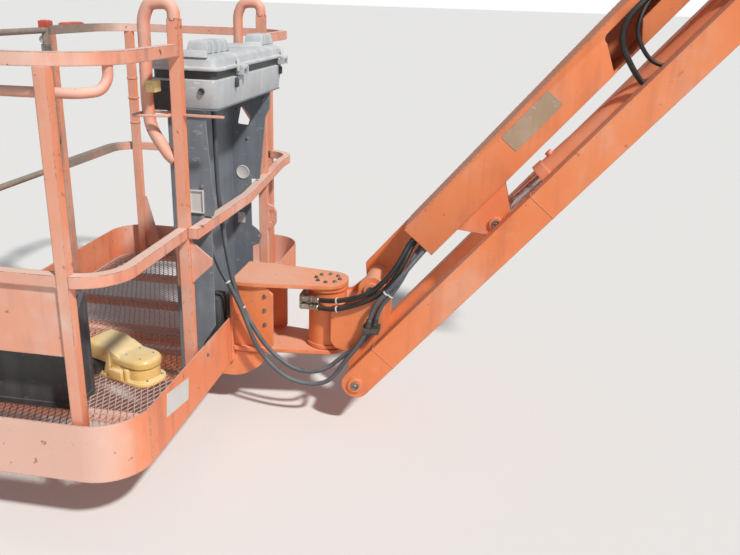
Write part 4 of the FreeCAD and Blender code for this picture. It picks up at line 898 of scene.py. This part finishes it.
cover_pieces = [cover]
for low_y, high_y in ((0.104, 0.330), (-0.375, -0.208)):
    foot = block("rib_foot", on_platform(-0.032, low_y, 1.082), on_platform(0.050, high_y, 1.100))
    chop(on_platform(0, low_y, 1.082), Vector((0, -0.80, 0.60)))
    chop(on_platform(0, high_y, 1.082), Vector((0, 0.80, 0.60)))
    chop(on_platform(-0.032, 0, 1.084), Vector((-0.80, 0, 0.60)))
    chop(on_platform(0.050, 0, 1.084), Vector((0.80, 0, 0.60)))
    cover_pieces.append(soften(foot, 0.003, 2))
    rib_pitch = (high_y - low_y - 0.03) / 4
    for i in range(4):
        rib_y = low_y + 0.015 + rib_pitch * (i + 0.5)
        rib = block("rib", on_platform(-0.030, rib_y - 0.40 * rib_pitch, 1.092),
                    on_platform(0.040, rib_y + 0.40 * rib_pitch, 1.128))
        choose(rib, lambda middle, way: way.z > 0.9)
        bpy.ops.transform.resize(value=(0.80, 0.44, 1))
        round_edges(rib, 0.0065, 4, lambda middle, way: middle.z > base_z + 1.12)
        cover_pieces.append(soften(rib, 0.002, 2))
for part in (0.28, 0.94):
    sleeve_y = console_near + (console_far - console_near) * part
    sleeve = round_bar("sleeve", 20, 0.008, 0.034, on_platform(-0.079, sleeve_y, 1.044), along_y)
    choose(sleeve, lambda middle, way: abs(way.y) > 0.9)
    bpy.ops.mesh.inset(thickness=0.0038)
    bpy.ops.mesh.bridge_edge_loops()
    cover_pieces.append(soften(sleeve, 0.0008, 2))
    leaf = block("leaf", on_platform(-0.074, sleeve_y - 0.017, 1.044),
                 on_platform(-0.064, sleeve_y + 0.017, 1.052))
    cover_pieces.append(soften(leaf, 0.001, 2))
cover = joined("console_cover", cover_pieces)
fitted(cover, console_plastic, "console_plastic", "console_lid", "console_lid")

# Two rubber straps hold the cover down on the boom side: a white hook on the cover, the catch on the box.
# The hooks are moulded, and worn thin at their tips.
strap_pieces, hook_pieces = [], []
for strap_y in (0.165, -0.330):
    hook = block("strap_hook", on_platform(console_rear - 0.0125, strap_y - 0.006, 1.034),
                 on_platform(console_rear - 0.0060, strap_y + 0.006, 1.074))
    chop(on_platform(console_rear - 0.0125, 0, 1.066), Vector((-0.8, 0, 0.5)))
    hook_pieces.append(soften(hook, 0.0015, 2))
    strap = block("strap_catch", on_platform(console_rear - 0.006, strap_y - 0.007, 0.984),
                  on_platform(console_rear + 0.002, strap_y + 0.007, 1.014))
    press(strap, 0.003, (-0.004, 0, 0), lambda middle, way: way.x < -0.9)
    strap_pieces.append(soften(strap, 0.001, 2))
fitted(joined("strap_hooks", hook_pieces), holder_white, "console_plastic", "console_lid")
fitted(joined("strap_catches", strap_pieces), dark_plastic, "lever_plastic", "platform")

# The foot switch is a cast body with a rounded cap, and a hood over the treadle, open to the operator's foot.
# It stands slantwise on the mesh, on a base plate that is screwed down, and its yellow paint is sun-bleached.
switch_paint = moulded("foot switch paint, yellow", (0.80, 0.56, 0.190, 1), (0.86, 0.72, 0.44, 1), 0.30,
                       seed=47)
painted(switch_paint, "foot_switch")
switch_place = on_platform(0.310, 0.336, 0.034)
switch_turn = Matrix.Translation(switch_place) @ Matrix.Rotation(math.radians(160), 4, "Z")
switch_pieces = []
switch_base = block("switch_base", Vector((-0.165, -0.065, 0)), Vector((0.165, 0.065, 0.012)))
round_edges(switch_base, 0.050, 6, lambda middle, way: abs(way.z) > 0.9 and middle.x > 0)
press(switch_base, 0.006, (0, 0, 0.004), lambda middle, way: way.z > 0.9)
switch_pieces.append(soften(switch_base, 0.002, 2))
hood = block("switch_hood", Vector((-0.145, -0.062, 0.010)), Vector((0.006, 0.062, 0.114)))
chop(Vector((-0.145, 0, 0.084)), Vector((-0.55, 0, 0.83)))
chop(Vector((0.006, 0, 0.100)), Vector((0.36, 0, 0.93)))
round_edges(hood, 0.016, 5, lambda middle, way: abs(way.x) > 0.8 and middle.z > 0.08)
bpy.ops.object.mode_set(mode="OBJECT")
hollow = block("hood_hollow", Vector((-0.190, -0.057, 0.000)), Vector((-0.004, 0.057, 0.094)))
chop(Vector((-0.145, 0, 0.078)), Vector((-0.55, 0, 0.83)))
bpy.ops.object.mode_set(mode="OBJECT")
cut_out(hood, hollow)
foot_gap = block("foot_gap", Vector((-0.190, -0.090, 0.000)), Vector((-0.010, -0.030, 0.056)))
chop(Vector((-0.010, 0, 0.056)), Vector((0.944, 0, -0.328)))
bpy.ops.object.mode_set(mode="OBJECT")
cut_out(hood, foot_gap)
bpy.ops.object.mode_set(mode="EDIT")
switch_pieces.append(soften(hood, 0.0012, 2))
riser = block("switch_riser", Vector((-0.004, -0.057, 0.012)), Vector((0.052, 0.057, 0.102)))
chop(Vector((0.004, 0, 0.102)), Vector((0.36, 0, 0.93)))
switch_pieces.append(soften(riser, 0.005, 3))
body = block("switch_body", Vector((-0.004, -0.055, 0.012)), Vector((0.150, 0.055, 0.054)))
round_edges(body, 0.048, 8, lambda middle, way: abs(way.z) > 0.9 and middle.x > 0.1)
switch_pieces.append(soften(body, 0.002, 2))
cap = block("switch_cap", Vector((0.020, -0.059, 0.0565)), Vector((0.156, 0.059, 0.078)))
round_edges(cap, 0.052, 8, lambda middle, way: abs(way.z) > 0.9 and middle.x > 0.1)
choose(cap, lambda middle, way: way.z > 0.9)
pull(0, 0, 0.010)
bpy.ops.transform.resize(value=(0.88, 0.84, 1))
switch_pieces.append(soften(cap, 0.004, 3, 25))
step = block("switch_step", Vector((0.012, -0.074, 0.010)), Vector((0.070, -0.050, 0.042)))
switch_pieces.append(soften(step, 0.003, 2))
switch_pieces.append(soften(round_bar("switch_boss", 20, 0.010, 0.040, (0.080, -0.056, 0.031)), 0.003, 3))
foot_switch = joined("foot_switch_case", switch_pieces)
foot_switch.data.transform(switch_turn)

# The treadle under the hood is ribbed rubber on a steel pad; the cap's gasket and the lead's plug are
# rubber too. Small screws hold the cap and the base.
rubber_pieces = []
treadle = block("treadle", Vector((-0.130, -0.056, 0.016)), Vector((-0.006, 0.056, 0.062)))
chop(Vector((-0.130, 0, 0.044)), Vector((-0.16, 0, 1)))
choose(treadle, lambda middle, way: way.z > 0.9)
bpy.ops.mesh.subdivide(number_cuts=7)
choose(treadle, lambda middle, way: way.z > 0.9 and int((middle.x + 0.130) / 0.0155) % 2 == 0)
pull(0, 0, 0.002)
rubber_pieces.append(soften(treadle, 0.0006, 1))
gasket = block("cap_gasket", Vector((0.018, -0.054, 0.053)), Vector((0.149, 0.054, 0.0575)))
round_edges(gasket, 0.047, 8, lambda middle, way: abs(way.z) > 0.9 and middle.x > 0.1)
rubber_pieces.append(soften(gasket, 0.0005, 1))
plug = block("switch_plug", Vector((-0.078, -0.080, 0.010)), Vector((-0.036, -0.056, 0.048)))
press(plug, 0.006, (0, -0.008, 0), lambda middle, way: way.y < -0.9)
rubber_pieces.append(soften(plug, 0.002, 2))
foot_rubber = joined("foot_switch_rubber", rubber_pieces)
foot_rubber.data.transform(switch_turn)
fitted(foot_switch, switch_paint, "switch_paint", "platform", "foot_switch")
treadle_rubber = moulded("treadle rubber, grey", (0.075, 0.070, 0.076, 1), (0.17, 0.16, 0.17, 1), 0.6,
                         seed=83)
fitted(foot_rubber, treadle_rubber, "lever_plastic", "platform")
switch_bolts = [(switch_turn @ Vector((x, y, z)), (0, 0, 1), size)
                for x, y, z, size in ((0.148, -0.034, 0.0155, 0.45), (0.148, 0.034, 0.0155, 0.45),
                                      (0.118, -0.030, 0.0883, 0.32), (0.118, 0.030, 0.0883, 0.32),
                                      (0.056, -0.030, 0.0883, 0.32), (0.056, 0.030, 0.0883, 0.32))]
fitted(joined("switch_screws", copies(bolt, switch_bolts)), fitting_steel, "fitting_steel", "platform")
bpy.data.objects.remove(bolt)


# Two pressure hoses run to the rotator and two cables to the console, out of the upper arm's open end.
# They are rubber over steel braid, dusty on top, and hang in a slack fold past the pin for the jib to close.
def braided_rubber(name, colour, dusty, seed):
    """Rubber hose cover with dust on its upper side."""
    material, shader, place = new_finish(name)
    facing = place.node("ShaderNodeTexCoord", {}, output="Normal")
    upward = place.node("ShaderNodeSeparateXYZ", {"Vector": facing}, output="Z")
    cloud = place.noise(14, 4.0, seed=seed)
    grain = place.noise(500, 2.0, seed=seed + 2)
    mask = (upward * 0.35 + cloud * 0.8).step(0.35, 0.95)
    feed(shader, Base_Color=mask.blend(colour, dusty), Roughness=0.42 + mask * 0.35,
         Normal=place.node("ShaderNodeBump", {"Strength": 0.4, "Distance": 0.0004, "Height": grain}))
    return material


hose_rubber = braided_rubber("hose rubber", (0.014, 0.014, 0.015, 1), (0.075, 0.068, 0.062, 1), 61)
cable_rubber = braided_rubber("cable rubber", (0.085, 0.095, 0.108, 1), (0.215, 0.230, 0.245, 1), 67)


def laid_hose(name, points, radius, finish, body, other=None):
    """A hose on one smooth line, fixed to its body; where it crosses a joint it is made a mesh and left in
    place, fixed to neither body.
    """
    curve = bpy.data.curves.new(name + "_line", "CURVE")
    curve.dimensions = "3D"
    run = curve.splines.new("NURBS")
    run.points.add(len(points) - 1)
    for spot, point in zip(run.points, points):
        spot.co = (*point, 1)
    run.order_u = 3
    run.use_endpoint_u = True
    run.resolution_u = 8
    hose = bpy.data.objects.new(name + "_piece", curve)
    scene.collection.objects.link(hose)
    bpy.context.view_layer.update()
    line = [vertex.co.copy() for vertex in bpy.data.meshes.new_from_object(hose).vertices]
    curve.bevel_depth = radius
    curve.bevel_resolution = 3
    curve.use_fill_caps = True
    hose.data.materials.append(finish)
    if other:
        only(hose)
        bpy.ops.object.convert(target="MESH")
        bpy.ops.object.shade_smooth()
        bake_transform(hose)
    else:
        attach(hose, body)
    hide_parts(name)
    return line


hose_radius, cable_radius = 0.009, 0.008
fold_end = on_platform(-0.46, 0.12, 0.26)
rotator_line_1 = laid_hose("rotator_hose_1", [
    on_arm(1.450, 0.045, 0.022), on_arm(1.600, 0.058, 0.022), on_platform(-0.602, 0.105, 0.440),
    on_platform(-0.560, 0.128, 0.372), on_platform(-0.500, 0.130, 0.315), on_platform(-0.430, 0.118, 0.284),
    on_platform(-0.360, 0.098, 0.262), on_platform(-0.285, 0.076, 0.255)],
    hose_radius, hose_rubber, "upper_arm", "knuckle")
rotator_line_2 = laid_hose("rotator_hose_2", [
    on_arm(1.450, 0.020, 0.012), on_arm(1.600, 0.036, 0.012), on_platform(-0.612, 0.092, 0.425),
    on_platform(-0.572, 0.117, 0.347), on_platform(-0.505, 0.119, 0.290), on_platform(-0.430, 0.117, 0.256),
    on_platform(-0.362, 0.111, 0.234), on_platform(-0.285, 0.074, 0.228)],
    hose_radius, hose_rubber, "upper_arm", "knuckle")
cable_fold_end = on_platform(-0.515, 0.12, 0.22)
arm_line_1 = laid_hose("arm_cable_1", [
    on_arm(1.450, 0.018, -0.016), on_arm(1.600, 0.026, -0.014), on_platform(-0.610, 0.105, 0.370),
    on_platform(-0.570, 0.116, 0.305), on_platform(-0.530, 0.119, 0.255), on_platform(-0.522, 0.118, 0.186)],
    cable_radius, cable_rubber, "upper_arm", "knuckle")
arm_line_2 = laid_hose("arm_cable_2", [
    on_arm(1.450, 0.042, -0.036), on_arm(1.600, 0.050, -0.037), on_platform(-0.606, 0.131, 0.384),
    on_platform(-0.550, 0.137, 0.315), on_platform(-0.511, 0.139, 0.260), on_platform(-0.502, 0.138, 0.186)],
    cable_radius, cable_rubber, "upper_arm", "knuckle")

# The two cables go on from a clamp on the knuckle, in a loop that lets the platform turn.
# From there they climb the pedestal's open back to the console.
swing_start = on_platform(-0.45, 0.13, 0.1)
swing_end = on_platform(-0.07, 0.15, 0.1)
platform_line_1 = laid_hose("platform_cable_1", [on_platform(*point) for point in (
    (-0.522, 0.118, 0.186), (-0.485, 0.119, 0.130), (-0.440, 0.118, 0.092), (-0.399, 0.119, 0.054),
    (-0.355, 0.120, 0.012), (-0.297, 0.124, -0.007), (-0.235, 0.128, 0.003), (-0.180, 0.132, 0.042),
    (-0.130, 0.138, 0.095), (-0.075, 0.140, 0.187), (-0.035, 0.140, 0.272), (-0.003, 0.128, 0.392),
    (0.024, 0.103, 0.528), (0.034, 0.100, 0.625), (0.039, 0.094, 0.730), (0.043, 0.088, 0.830),
    (0.046, 0.085, 0.930))],
    cable_radius, cable_rubber, "knuckle", "platform")
platform_line_2 = laid_hose("platform_cable_2", [on_platform(*point) for point in (
    (-0.502, 0.138, 0.186), (-0.468, 0.139, 0.118), (-0.428, 0.140, 0.066), (-0.402, 0.141, 0.020),
    (-0.366, 0.142, -0.028), (-0.300, 0.144, -0.046), (-0.225, 0.148, -0.031), (-0.165, 0.154, 0.016),
    (-0.106, 0.160, 0.095), (-0.064, 0.160, 0.219), (-0.024, 0.160, 0.303), (0.016, 0.158, 0.367),
    (0.044, 0.152, 0.440), (0.056, 0.146, 0.528), (0.058, 0.144, 0.625), (0.062, 0.138, 0.730),
    (0.064, 0.130, 0.830), (0.067, 0.128, 0.930))],
    cable_radius, cable_rubber, "knuckle", "platform")

# Two more hoses make a small loop out of the slot in the upper arm's cover.
# They are fixed to clamp blocks at both ends.
slot_line_1 = laid_hose("slot_hose_1", [on_arm(*point) for point in (
    (0.185, 0.045, 0.012), (0.300, 0.045, 0.014), (0.430, 0.046, 0.016), (0.535, 0.052, 0.022),
    (0.605, 0.078, 0.030), (0.668, 0.091, 0.030), (0.722, 0.090, -0.004), (0.748, 0.080, -0.075),
    (0.762, 0.070, -0.140), (0.748, 0.071, -0.195), (0.690, 0.070, -0.228), (0.600, 0.070, -0.232),
    (0.490, 0.070, -0.228), (0.395, 0.071, -0.218), (0.346, 0.070, -0.172), (0.334, 0.069, -0.080))],
    hose_radius, hose_rubber, "upper_arm")
slot_line_2 = laid_hose("slot_hose_2", [on_arm(*point) for point in (
    (0.185, 0.018, 0.012), (0.300, 0.022, 0.012), (0.420, 0.026, 0.014), (0.515, 0.030, 0.018),
    (0.580, 0.052, 0.020), (0.636, 0.078, 0.006), (0.678, 0.089, -0.022), (0.698, 0.082, -0.078),
    (0.700, 0.072, -0.124), (0.672, 0.072, -0.170), (0.610, 0.071, -0.194), (0.520, 0.071, -0.196),
    (0.440, 0.071, -0.190), (0.388, 0.072, -0.170), (0.368, 0.071, -0.136), (0.362, 0.070, -0.080))],
    0.0065, hose_rubber, "upper_arm")


# Every hose ends in a crimped steel sleeve: a hex end, and a skirt pressed on in rings.
# One is modelled, and stands on each hose's and cable's end in line with it.
def crimped_sleeve():
    """A sleeve 36 mm long, from the origin up: a hex end, then a crimped skirt that tapers to the hose."""
    skirt = round_bar("skirt", 18, 0.0125, 0.024, (0, 0, 0.020))
    choose(skirt, lambda middle, way: abs(way.z) > 0.9, "EDGE")
    bpy.ops.mesh.subdivide(number_cuts=5)
    choose(skirt, lambda middle, way: abs(way.z) < 0.1 and round((middle.z - 0.008) / 0.004) % 2 == 1, "EDGE")
    bpy.ops.transform.resize(value=(0.90, 0.90, 1))
    choose(skirt, lambda middle, way: way.z > 0.9)
    pull(0, 0, 0.004)
    bpy.ops.transform.resize(value=(0.80, 0.80, 1))
    soften(skirt, 0.0006, 1)
    nut = soften(round_bar("nut", 6, 0.0145, 0.009, (0, 0, 0.0045)), 0.0008, 2)
    return joined("sleeve_model", [skirt, nut])


def at_end(line, size=1.0, lift=0.0):
    """Where a sleeve stands on a hose's end: its point, the direction the hose leaves in, its size."""
    return line[-1] + Vector((0, 0, lift)), line[-4] - line[-1], size


sleeve = crimped_sleeve()
fitted(joined("port_sleeves", copies(sleeve, [at_end(rotator_line_1), at_end(rotator_line_2)])),
       fitting_steel, "fitting_steel", "knuckle")
fitted(joined("clamp_sleeves_arm", copies(sleeve, [
    at_end(arm_line_1, 0.85, 0.010), at_end(arm_line_2, 0.85, 0.010)])),
    bracket_steel, "bracket_steel", "knuckle")
fitted(joined("slot_sleeves", copies(sleeve, [at_end(slot_line_1), at_end(slot_line_2, 0.8)])),
       fitting_steel, "fitting_steel", "upper_arm")
fitted(joined("console_glands", copies(sleeve, [
    at_end(platform_line_1, 0.9, -0.004), at_end(platform_line_2, 0.9, -0.004)])),
    fitting_steel, "fitting_steel", "platform")
bpy.data.objects.remove(sleeve)


# White plastic ties are pulled tight round the hoses and cables where they are bundled.
# Those past the arm's end are left in place, fixed to neither body.
def tie(name, line, at, radius, body, other=None):
    """A thin strap round a hose at a share of its length."""
    index = int(at * (len(line) - 1))
    spot = line[index]
    way = (line[index + 1] - spot).normalized()
    bpy.ops.object.select_all(action="DESELECT")
    bpy.ops.mesh.primitive_torus_add(major_segments=24, minor_segments=8, major_radius=radius + 0.0012,
                                     minor_radius=0.0016, location=(0, 0, 0))
    strap = took_shape(name)
    turn = way.to_track_quat("Z", "Y").to_matrix().to_4x4()
    strap.data.transform(Matrix.Translation(spot) @ turn @ Matrix.Diagonal((1, 1, 2.0, 1)))
    strap.data.materials.clear()
    strap.data.materials.append(holder_white)
    bpy.ops.object.shade_smooth()
    if other:
        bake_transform(strap)
    else:
        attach(strap, body)


tie("cable_tie_1", arm_line_1, 0.62, cable_radius, "upper_arm", "knuckle")
tie("cable_tie_2", arm_line_2, 0.60, cable_radius, "upper_arm", "knuckle")
tie("hose_tie_1", rotator_line_1, 0.86, hose_radius, "knuckle")
tie("hose_tie_2", rotator_line_2, 0.86, hose_radius, "knuckle")
tie("cable_tie_3", platform_line_1, 0.60, cable_radius, "platform")
tie("cable_tie_4", platform_line_2, 0.62, cable_radius, "platform")
